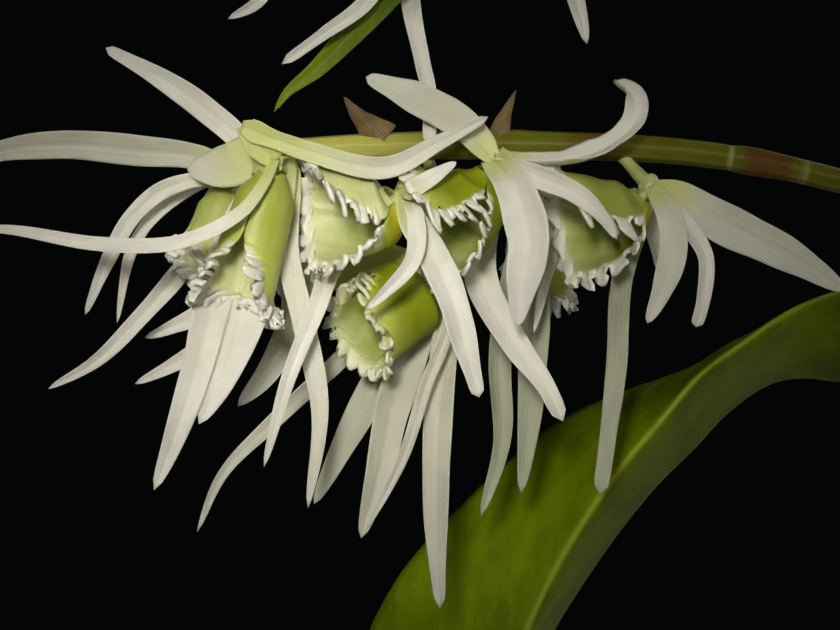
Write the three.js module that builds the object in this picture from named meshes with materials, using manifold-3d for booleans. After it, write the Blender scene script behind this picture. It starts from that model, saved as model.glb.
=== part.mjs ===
// A potted dendrobium orchid, in millimetres, +Z up, origin at the middle of the pot's flat foot.
// A plain clay pot holds a bed of bark chips. Thin jointed canes stand in plain holes in it, some with
// strap leaves, and three of them bear tight groups of spidery white blooms with green, frilled lips.
import * as THREE from "three";
import { mergeVertices } from "three/addons/utils/BufferGeometryUtils.js";
import Module from "manifold-3d";

const wasm = await Module();
wasm.setup();

// Driving dimensions
const GAP = 0.3; // left between pieces that touch
const POT = { height: 100, foot: 41, shoulder: 52, rim: 60, band: 19, wall: 5, floor: 7 };
const RIM = { edge: 1.5, flare: 2, sides: 24 }; // the rim's worn edges, and how much its bore widens
const DRAIN = { count: 4, radius: 5, out: 22, sides: 8 };
const BED = { top: 86, crown: 3 };
const CHIP = { rings: [9, 22, 35], step: 15, long: 19, wide: 13, thick: 8, lift: 1.2, seed: 5 };
const CHIP_TILT = { roll: 0.9, pitch: 0.6 }; // how far a chip may lie over, in radians
const CANE = { sides: 6, joint: 25, swell: 1.15 };
const BRACT = { width: 3.4, steps: 3 };
const TEPAL = { thick: 0.62, channel: 0.1, steps: 6, plainSteps: 5, crowd: 1.4 };
const LEAF = { thick: 0.9, channel: 0.16, steps: 8 };
const FOLD = { steps: 18, ridge: 1.4 }; // the most that a folded leaf's ridge may stand out
const LIP = { thick: 0.6, tube: 1.5, rolled: 2.45, open: 1.2, openBy: 0.6, frill: 0.5, swell: 0.35 };
const LIP_GRID = { along: 9, across: 6, plainAlong: 5, plainAcross: 4 };
const HEART = 1.45; // radius of the cup where the tepals of a bloom meet
const STALK = { cane: 0.75, bloom: 1.05, steps: 3, sides: 6 };
const COLUMN = { radius: 0.7, length: 3.6 };
const HANGING = { tepals: 5, length: 19, spare: 5, widths: [3, 2.2], lip: 21, spread: 1.1 };

// The front group is laid out on an upright sheet: x runs right from its left edge, down from its top
// edge, and back away from the eye, which stands straight in front of the sheet's middle. Whatever lies
// further back is spread out from the middle a little, so that it stays on its line of sight.
const SHEET = { left: -160, top: 340, y: -25, width: 84, height: 63, eye: 315 };

const FINISH = {
  clay: { color: 0xb06a44, roughness: 0.85 },
  bark: { color: 0x5b3d28, roughness: 0.95 },
  cane: { color: 0x6f7a2a, roughness: 0.5 },
  leaf: { color: 0x4d6b12, roughness: 0.4 },
  tepal: { color: 0xe4e2d4, roughness: 0.55 },
  lip: { color: 0xb7c265, roughness: 0.55 },
};

// Widths along a blade, as shares of its widest, against shares of its length
const TEPAL_OUTLINE = [[0, 0.35], [0.2, 0.75], [0.45, 1], [0.7, 0.86], [0.9, 0.5], [1, 0.16]];
const LEAF_OUTLINE = [
  [0, 0.3], [0.12, 0.62], [0.35, 0.95], [0.55, 1], [0.8, 0.72], [0.94, 0.34], [1, 0.08],
];
const LIP_OUTLINE = [[0, 1], [0.8, 1], [1, 0.55]];
const BRACT_OUTLINE = [[0, 1], [0.5, 0.85], [1, 0.15]];

// How a grown leaf arches: shares of its length out from the cane, and up beyond its rise
const LEAF_ARCH = [[0.16, 0], [0.5, 0.12], [0.8, -0.04], [0.98, -0.28]];

// How a tepal of a hanging bloom curves: shares of its length outward, along the bloom, and down
const HANGING_CURVE = [[0.16, 0.05, 0], [0.38, 0.36, 0], [0.44, 0.66, 0.04], [0.42, 0.92, 0.1]];
const HANGING_LIP = [0.2, 0.42, 0.62];

const TOWARD_EYE = [0, -1, 0];
const UP = new THREE.Vector3(0, 0, 1);

function onSheet([x, down, back]) {
  const spread = 1 + back / SHEET.eye;
  const middleX = SHEET.width / 2;
  const middleDown = SHEET.height / 2;
  return new THREE.Vector3(
    SHEET.left + middleX + (x - middleX) * spread,
    SHEET.y + back,
    SHEET.top - middleDown - (down - middleDown) * spread,
  );
}

// Shape helpers

// Repeatable draws from 0 to 1.
function draws(seed) {
  let state = seed;
  return () => {
    state = (state * 16807) % 2147483647;
    return state / 2147483647;
  };
}

// A closed body through rings of points. The second half of a ring mirrors the first half, face to face,
// and both faces of a blade are split into triangles alike.
function loft(rings) {
  const count = rings[0].length;
  const position = rings.flat().flatMap((point) => point.toArray());
  const index = [];
  for (let ring = 0; ring < rings.length - 1; ring++) {
    for (let k = 0; k < count; k++) {
      const a = ring * count + k;
      const b = ring * count + ((k + 1) % count);
      if (k < count / 2) {
        index.push(a, b, a + count, b, b + count, a + count);
      } else {
        index.push(a, b, b + count, a, b + count, a + count);
      }
    }
  }
  const last = (rings.length - 1) * count;
  for (let k = 0; k < count / 2 - 1; k++) {
    const mirror = count - 1 - k;
    index.push(k, mirror, mirror - 1, k, mirror - 1, k + 1);
    index.push(last + k, last + mirror - 1, last + mirror, last + k, last + k + 1, last + mirror - 1);
  }
  const geometry = new THREE.BufferGeometry();
  geometry.setAttribute("position", new THREE.Float32BufferAttribute(position, 3));
  geometry.setIndex(index);
  return geometry;
}

function solidOf(geometry) {
  const bare = geometry.clone();
  bare.deleteAttribute("normal");
  bare.deleteAttribute("uv");
  const merged = mergeVertices(bare, 1e-4);
  const triVerts = Uint32Array.from(merged.index.array);
  const vertProperties = merged.attributes.position.array;
  const solid = new wasm.Manifold(new wasm.Mesh({ numProp: 3, vertProperties, triVerts }));
  if (solid.volume() > 0) {
    return solid;
  }
  return new wasm.Manifold(new wasm.Mesh({ numProp: 3, vertProperties, triVerts: triVerts.reverse() }));
}

const fuse = (solids) => solids.reduce((all, solid) => all.add(solid));

// The largest body of a solid, so that no scrap or sealed bubble of a cut stays in it.
const mainBody = (solid) => solid.decompose().sort((a, b) => b.volume() - a.volume())[0];

function piece(name, solid, finish) {
  const { vertProperties, triVerts } = solid.getMesh();
  const geometry = new THREE.BufferGeometry();
  geometry.setAttribute("position", new THREE.Float32BufferAttribute(vertProperties, 3));
  geometry.setIndex(Array.from(triVerts));
  geometry.computeVertexNormals();
  const mesh = new THREE.Mesh(geometry, new THREE.MeshStandardMaterial({ ...finish, metalness: 0 }));
  mesh.name = name;
  return mesh;
}

// Straight lines between the stops of a profile such as [[0, 1], [0.5, 2], [1, 0]].
function profile(stops, t) {
  const next = Math.max(1, stops.findIndex(([place]) => place >= t));
  const [t0, v0] = stops[next - 1];
  const [t1, v1] = stops[next];
  return THREE.MathUtils.lerp(v0, v1, THREE.MathUtils.clamp((t - t0) / (t1 - t0), 0, 1));
}

const curveThrough = (points) => new THREE.CatmullRomCurve3(points, false, "centripetal");

// A round stem of changing radius along a curve.
function stem(curve, radiusAt, steps, sides) {
  const frames = curve.computeFrenetFrames(steps, false);
  const rings = [];
  for (let i = 0; i <= steps; i++) {
    const centre = curve.getPointAt(i / steps);
    const ring = [];
    for (let k = 0; k < sides; k++) {
      const angle = (2 * Math.PI * k) / sides;
      const out = frames.normals[i].clone().multiplyScalar(Math.cos(angle));
      out.addScaledVector(frames.binormals[i], Math.sin(angle));
      ring.push(centre.clone().addScaledVector(out, radiusAt(i / steps)));
    }
    rings.push(ring);
  }
  return solidOf(loft(rings));
}

// The axes of a blade at a place along its curve: across its width, and out of its face.
function bladeAxes(along, faces) {
  const across = new THREE.Vector3().crossVectors(along, faces).normalize();
  const out = new THREE.Vector3().crossVectors(across, along).normalize();
  return { across, out };
}

// A strap along a curve. Its width follows outline, its edges stand up from a channelled middle, or it is
// flat where it has no channel. A crowd over 1 brings its rings closer together near its root.
function strap({ curve, width, outline, thick, channel, steps, faces, crowd = 1 }) {
  const toward = new THREE.Vector3(...faces);
  const rings = [];
  for (let i = 0; i <= steps; i++) {
    const t = (i / steps) ** crowd;
    const centre = curve.getPointAt(t);
    const { across, out } = bladeAxes(curve.getTangentAt(t), toward);
    const half = (width * profile(outline, t)) / 2;
    const corner = (side, face) =>
      centre
        .clone()
        .addScaledVector(across, side * half)
        .addScaledVector(out, (face * thick) / 2 + Math.abs(side) * 2 * channel * half);
    const sides = channel ? [-1, 0, 1] : [-1, 1];
    const upper = sides.map((side) => corner(side, 1));
    const lower = sides.reverse().map((side) => corner(side, -1));
    rings.push([...upper, ...lower]);
  }
  return solidOf(loft(rings));
}

// Pot and bark

function potSolid() {
  const inner = POT.shoulder - POT.wall + RIM.flare;
  const shoulder = POT.height - POT.band;
  const outline = [
    [0, 0],
    [POT.foot, 0],
    [POT.shoulder, shoulder],
    [POT.rim - RIM.edge, shoulder],
    [POT.rim, POT.height - RIM.edge],
    [POT.rim - RIM.edge, POT.height],
    [inner + RIM.flare, POT.height],
    [inner, shoulder],
    [POT.foot - POT.wall, POT.floor],
    [0, POT.floor],
  ].map(([radius, height]) => new THREE.Vector2(radius, height));
  let pot = solidOf(new THREE.LatheGeometry(outline, RIM.sides).rotateX(Math.PI / 2));
  for (let k = 0; k < DRAIN.count; k++) {
    const angle = (2 * Math.PI * (k + 0.5)) / DRAIN.count;
    const hole = new THREE.CylinderGeometry(DRAIN.radius, DRAIN.radius, 3 * POT.floor, DRAIN.sides);
    hole.rotateX(Math.PI / 2);
    hole.translate(DRAIN.out * Math.cos(angle), DRAIN.out * Math.sin(angle), 0);
    pot = pot.subtract(solidOf(hole));
  }
  return pot;
}

// Everything inside the pot's wall, less the gap, up to the bed's crowned top.
function potFilling() {
  const inner = POT.shoulder - POT.wall + RIM.flare - GAP;
  const shoulder = POT.height - POT.band;
  const flare = (RIM.flare * (BED.top - shoulder)) / POT.band;
  const outline = [
    [0, POT.floor + GAP],
    [POT.foot - POT.wall - GAP, POT.floor + GAP],
    [inner, shoulder],
    [inner + flare, BED.top],
    [0, BED.top + BED.crown],
  ].map(([radius, height]) => new THREE.Vector2(radius, height));
  return solidOf(new THREE.LatheGeometry(outline, RIM.sides).rotateX(Math.PI / 2));
}

// A chip of bark, up to a quarter larger or smaller than the common size, and narrower at one end.
function barkChip(draw) {
  const size = () => THREE.MathUtils.lerp(0.75, 1.25, draw());
  const chip = new THREE.BoxGeometry(CHIP.long * size(), CHIP.wide * size(), CHIP.thick * size());
  const position = chip.attributes.position;
  const taper = THREE.MathUtils.lerp(0.6, 0.9, draw());
  for (let i = 0; i < position.count; i++) {
    if (position.getX(i) > 0) {
      position.setY(i, position.getY(i) * taper);
    }
  }
  chip.rotateX((draw() - 0.5) * CHIP_TILT.roll);
  chip.rotateY((draw() - 0.5) * CHIP_TILT.pitch);
  chip.rotateZ(draw() * Math.PI);
  return chip;
}

function bedSolid(sockets) {
  const draw = draws(CHIP.seed);
  const chips = [];
  for (const ring of CHIP.rings) {
    const count = Math.round((2 * Math.PI * ring) / CHIP.step);
    for (let k = 0; k < count; k++) {
      const angle = (2 * Math.PI * (k + 0.4 * draw())) / count;
      const chip = barkChip(draw);
      const height = BED.top + BED.crown * (1 - ring / POT.shoulder) + CHIP.lift * draw();
      chip.translate(ring * Math.cos(angle), ring * Math.sin(angle), height);
      chips.push(solidOf(chip));
    }
  }
  const heap = fuse([potFilling(), ...chips]);
  const bed = sockets.reduce((rest, socket) => rest.subtract(socket), heap);
  return mainBody(bed);
}

// Canes

// A jointed cane from its foot in the bark to its tip. Every second ring of it stands out as a joint.
// Bracts are papery scales that stand up from it at a share of its length.
function makeCane({ places, radii, bracts = [] }) {
  const curve = curveThrough(places);
  const steps = 2 * Math.round(curve.getLength() / CANE.joint);
  const radiusAt = (t) => {
    const joint = Math.round(t * steps) % 2 === 0 && t > 0 && t < 1;
    return profile(radii, t) * (joint ? CANE.swell : 1);
  };
  const scales = bracts.map(({ share, lean, rise }) => {
    const root = curve.getPointAt(share);
    const tip = root.clone().add(new THREE.Vector3(lean, 0, rise));
    return strap({
      curve: new THREE.LineCurve3(root, tip),
      width: BRACT.width,
      outline: BRACT_OUTLINE,
      thick: TEPAL.thick,
      channel: TEPAL.channel,
      steps: BRACT.steps,
      faces: TOWARD_EYE,
    });
  });
  const solid = fuse([stem(curve, radiusAt, steps, CANE.sides), ...scales]);
  return { curve, radiusAt, steps, solid };
}

// The plain hole in the bark that a cane stands in: the cane's own foot, grown by the gap.
function socketOf({ curve, radiusAt, steps }) {
  return stem(curve, (t) => radiusAt(t) + GAP / Math.cos(Math.PI / CANE.sides), steps, CANE.sides);
}

// Leaves

// A leaf along its midrib, from just off its cane to its tip.
function makeLeaf({ midrib, width, faces = [0, 0, 1] }) {
  return strap({
    curve: curveThrough(midrib),
    width,
    outline: LEAF_OUTLINE,
    thick: LEAF.thick,
    channel: LEAF.channel,
    steps: LEAF.steps,
    faces,
  });
}

// A leaf that folds back along its midrib. Its two halves run from the midrib to the near and far
// margins, and each keeps its thickness square to its own face.
function makeFoldedLeaf({ near, midrib, far }) {
  const curves = [near, midrib, far].map(curveThrough);
  const rings = [];
  for (let i = 0; i <= FOLD.steps; i++) {
    const t = i / FOLD.steps;
    const [nearEdge, middle, farEdge] = curves.map((curve) => curve.getPoint(t));
    const along = curves[1].getTangent(t);
    const toMargin = (edge) => edge.clone().sub(middle).projectOnPlane(along).normalize();
    const a = toMargin(nearEdge);
    const b = toMargin(farEdge);
    const ridge = a.clone().add(b).normalize().negate();
    const faceOf = (half) => ridge.clone().projectOnPlane(half).normalize();
    const rise = Math.min(LEAF.thick / (2 * Math.sin(a.angleTo(b) / 2)), FOLD.ridge);
    const corner = (place, out, reach) => place.clone().addScaledVector(out, reach);
    const layer = (face) => [
      corner(nearEdge, faceOf(a), (face * LEAF.thick) / 2),
      corner(middle, ridge, face * rise),
      corner(farEdge, faceOf(b), (face * LEAF.thick) / 2),
    ];
    rings.push([...layer(1), ...layer(-1).reverse()]);
  }
  return solidOf(loft(rings));
}

// The midrib of a leaf that grows from a cane at a share of its length, towards a compass angle.
function midribFrom({ curve, radiusAt }, share, angle, length, rise) {
  const heading = THREE.MathUtils.degToRad(angle);
  const out = new THREE.Vector3(Math.cos(heading), Math.sin(heading), 0);
  const off = radiusAt(share) * CANE.swell + GAP + LEAF.thick / 2;
  const root = curve.getPointAt(share).addScaledVector(out, off);
  const arch = LEAF_ARCH.map(([reach, up]) =>
    root
      .clone()
      .addScaledVector(out, reach * length)
      .addScaledVector(UP, (rise + up) * length),
  );
  return [root, ...arch];
}

// Blooms

// A lip is a sheet rolled into a tube at the heart that opens into a trough, with frilled margins. Across
// it the sheet is an arc, and along it the arc widens, opens and narrows again to the tip.
function makeLip({ path, faces, spread, fine = true }) {
  const curve = curveThrough(path);
  const toward = new THREE.Vector3(...faces);
  const rows = fine ? LIP_GRID.along : LIP_GRID.plainAlong;
  const columns = fine ? LIP_GRID.across : LIP_GRID.plainAcross;
  const rings = [];
  for (let i = 0; i <= rows; i++) {
    const u = i / rows;
    const centre = curve.getPointAt(u);
    const { across, out } = bladeAxes(curve.getTangentAt(u), toward);
    const opening = THREE.MathUtils.smoothstep(u, 0, LIP.openBy);
    const halfArc = LIP.rolled * LIP.tube * THREE.MathUtils.lerp(1, spread, opening);
    const halfAngle = THREE.MathUtils.lerp(LIP.rolled, LIP.open, opening);
    const bend = halfArc / halfAngle;
    const outer = [];
    const inner = [];
    for (let j = 0; j <= columns; j++) {
      const v = (2 * j) / columns - 1;
      const margin = opening * THREE.MathUtils.smoothstep(Math.abs(v), 0.5, 1);
      const frill = LIP.frill * margin * (i % 2 === 0 ? 1 : -1);
      const angle = v * halfAngle * profile(LIP_OUTLINE, u);
      const spoke = across.clone().multiplyScalar(Math.sin(angle)).addScaledVector(out, -Math.cos(angle));
      const half = (LIP.thick * (1 + LIP.swell * margin)) / 2;
      const hub = centre.clone().addScaledVector(out, bend - LIP.tube);
      outer.push(hub.clone().addScaledVector(spoke, bend + frill + half));
      inner.unshift(hub.clone().addScaledVector(spoke, bend + frill - half));
    }
    rings.push([...outer, ...inner]);
  }
  return solidOf(loft(rings));
}

// A bloom: its stalk from the cane, the heart with its column, and five narrow tepals. Its lip starts
// just off the heart.
function makeBloom({ heart, stalk, tepals, lip, fine = true }) {
  const down = lip.path[0].clone().sub(heart).normalize();
  const stalkCurve = curveThrough([...stalk, heart]);
  const columnCurve = new THREE.LineCurve3(heart, heart.clone().addScaledVector(down, COLUMN.length));
  const straps = tepals.map(({ points, width, free = false, faces = TOWARD_EYE }) =>
    strap({
      curve: curveThrough(free ? points : [heart, ...points]),
      width,
      outline: TEPAL_OUTLINE,
      thick: TEPAL.thick,
      channel: fine ? TEPAL.channel : 0,
      steps: fine ? TEPAL.steps : TEPAL.plainSteps,
      faces,
      crowd: free ? 1 : TEPAL.crowd,
    }),
  );
  const cup = new THREE.IcosahedronGeometry(HEART, 0).translate(heart.x, heart.y, heart.z);
  const flower = fuse([
    solidOf(cup),
    stem(stalkCurve, (t) => THREE.MathUtils.lerp(STALK.cane, STALK.bloom, t), STALK.steps, STALK.sides),
    stem(columnCurve, () => COLUMN.radius, 1, STALK.sides),
    ...straps,
  ]);
  const start = heart.clone().addScaledVector(down, HEART + GAP);
  return { flower, lip: makeLip({ ...lip, path: [start, ...lip.path], fine }) };
}

// A bloom that hangs along an axis, with its tepals splayed round it and drooping at their tips.
function hangingBloom({ heart, stalk, axis, seed }) {
  const draw = draws(seed);
  const along = new THREE.Vector3(...axis).normalize();
  const side = new THREE.Vector3().crossVectors(along, UP).normalize();
  const front = new THREE.Vector3().crossVectors(side, along);
  const start = draw();
  const tepals = [];
  for (let k = 0; k < HANGING.tepals; k++) {
    const angle = (2 * Math.PI * (k + start)) / HANGING.tepals;
    const ray = side.clone().multiplyScalar(Math.cos(angle)).addScaledVector(front, Math.sin(angle));
    const length = HANGING.length + HANGING.spare * draw();
    const points = HANGING_CURVE.map(([splay, far, sink]) =>
      heart
        .clone()
        .addScaledVector(ray, splay * length)
        .addScaledVector(along, far * length)
        .addScaledVector(UP, -sink * length),
    );
    tepals.push({ points, width: HANGING.widths[k % 2], faces: ray.toArray() });
  }
  const path = HANGING_LIP.map((far) => heart.clone().addScaledVector(along, far * HANGING.lip));
  const lip = { path, faces: front.toArray(), spread: HANGING.spread };
  return makeBloom({ heart, stalk, tepals, lip, fine: false });
}

// The canes of the clump

const at = (x, y, z) => new THREE.Vector3(x, y, z);
const sheet = (...places) => places.map(onSheet);

const canes = {
  cane_1: makeCane({
    places: [
      at(-12, -7, 68), at(-12, -8, 150), at(-11, -13, 225), at(-14, -18, 257), at(-24, -22, 284),
      at(-40, -24, 305), at(-58, -25, 316.5),
      ...sheet([84, 17.7, 0], [66, 15, 0], [50, 14.5, 0], [36, 14.7, 0], [26, 15.3, 0]),
    ],
    radii: [[0, 2.8], [0.15, 3], [0.5, 2], [0.8, 1.3], [0.88, 1.45], [0.98, 1.5], [1, 0.9]],
    bracts: [{ share: 0.9245, lean: 1.2, rise: 5.6 }, { share: 0.9625, lean: -3, rise: 5 }],
  }),
  cane_2: makeCane({
    places: [
      at(-4, 10, 68), at(-3, 12, 160), at(-4, 12, 250), at(-10, 6, 310), at(-24, -2, 348),
      at(-48, -10, 366), at(-75, -14, 372), at(-100, -15, 373), at(-125, -15, 370), at(-138, -15, 367),
    ],
    radii: [[0, 2.8], [0.15, 3], [0.5, 2.1], [0.8, 1.4], [0.98, 1.5], [1, 0.9]],
  }),
  cane_3: makeCane({
    places: [
      at(8, -18, 68), at(12, -22, 150), at(4, -16, 225), at(-18, -4, 275), at(-40, -4, 304),
      at(-54, -5, 322),
    ],
    radii: [[0, 2.8], [0.2, 3], [0.7, 2.1], [1, 1.3]],
  }),
  cane_4: makeCane({
    places: [at(14, 8, 68), at(18, 9, 150), at(26, 10, 220), at(40, 12, 285), at(54, 12, 332)],
    radii: [[0, 2.8], [0.2, 3], [0.7, 2.2], [1, 1.3]],
  }),
  cane_5: makeCane({
    places: [at(26, -12, 68), at(33, -17, 130), at(46, -25, 180), at(64, -32, 222)],
    radii: [[0, 2.6], [0.25, 2.9], [0.7, 2.1], [1, 1.2]],
  }),
  cane_6: makeCane({
    places: [
      at(-16, 20, 68), at(-20, 28, 140), at(-30, 42, 196), at(-48, 58, 228), at(-74, 72, 240),
      at(-92, 78, 234),
    ],
    radii: [[0, 2.8], [0.2, 3], [0.7, 1.8], [1, 1.1]],
  }),
  cane_7: makeCane({
    places: [at(8, 28, 68), at(12, 38, 140), at(22, 54, 205), at(36, 70, 258)],
    radii: [[0, 2.8], [0.2, 3], [0.7, 2.2], [1, 1.3]],
  }),
  cane_8: makeCane({
    places: [at(-28, -14, 68), at(-34, -18, 105), at(-44, -24, 140)],
    radii: [[0, 2.4], [0.4, 2.6], [1, 1.1]],
  }),
};

const bigLeaf = {
  near: sheet(
    [108.2, 29.9, 17.9], [97.6, 34, 19.5], [85.2, 38, 22.5], [80.5, 37.7, 25], [76.6, 38.6, 26.5],
    [72.8, 41.2, 27.5], [69.3, 44.9, 28], [64.8, 49.4, 29], [59.8, 56, 30.5], [55.5, 63, 32],
    [52.2, 72.5, 33.5], [50.4, 84.6, 33], [48.6, 96, 30],
  ),
  midrib: sheet(
    [108.2, 28, 17.1], [97, 26, 14.6], [84, 29, 14], [79, 31.1, 13.4], [74, 34.5, 13],
    [70, 37.5, 13], [66, 42.2, 13], [62, 47, 13.5], [57, 54.5, 15], [53, 62.5, 17],
    [50, 72, 20], [48.5, 84, 24], [48, 96, 29],
  ),
  far: sheet(
    [108.4, 28.4, 19], [97.4, 29.5, 24], [84.6, 32.5, 25.5], [79.2, 33, 27], [73.6, 34.2, 28],
    [69, 36.8, 28.5], [62.7, 39.1, 28.5], [55.9, 42.2, 27.5], [46.5, 50.2, 26.3], [39.8, 58, 24.5],
    [35.5, 69.5, 27], [39, 82.5, 29.5], [47.2, 96, 30],
  ),
};

const tipLeaf = {
  midrib: sheet(
    [60, -30.6, 8], [52, -18, 2], [44, -7, 0], [38.5, 0.3, 1], [33.5, 4.5, 2], [29, 7.6, 2.5],
    [27.5, 10.6, 3],
  ),
  width: 6.5,
  faces: TOWARD_EYE,
};

const cornerLeaf = {
  midrib: sheet([79.4, -27.8, 12.2], [83.5, -13, 13], [88, -3, 13], [93, 5.5, 13], [96.5, 12.5, 13]),
  width: 10,
  faces: TOWARD_EYE,
};

// The leaves out of the sheet: cane, share of its length, compass angle, length, rise and width
const grownLeaves = [
  ["cane_3", 0.5, -70, 90, 0.3, 20],
  ["cane_4", 0.62, -10, 105, 0.3, 22],
  ["cane_4", 0.8, 170, 80, 0.4, 20],
  ["cane_4", 0.96, 10, 110, 0.35, 22],
  ["cane_5", 0.5, -60, 85, 0.3, 20],
  ["cane_5", 0.72, 20, 95, 0.3, 21],
  ["cane_5", 0.95, -30, 100, 0.3, 20],
  ["cane_6", 0.4, 160, 80, 0.3, 19],
  ["cane_7", 0.5, 100, 90, 0.3, 20],
  ["cane_7", 0.74, 30, 100, 0.3, 22],
  ["cane_7", 0.96, 70, 105, 0.3, 21],
  ["cane_8", 0.55, 240, 60, 0.35, 16],
  ["cane_8", 0.95, 190, 70, 0.35, 17],
];

// The front group, traced on the sheet

const tepal = (width, ...places) => ({ width, points: sheet(...places) });

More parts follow.
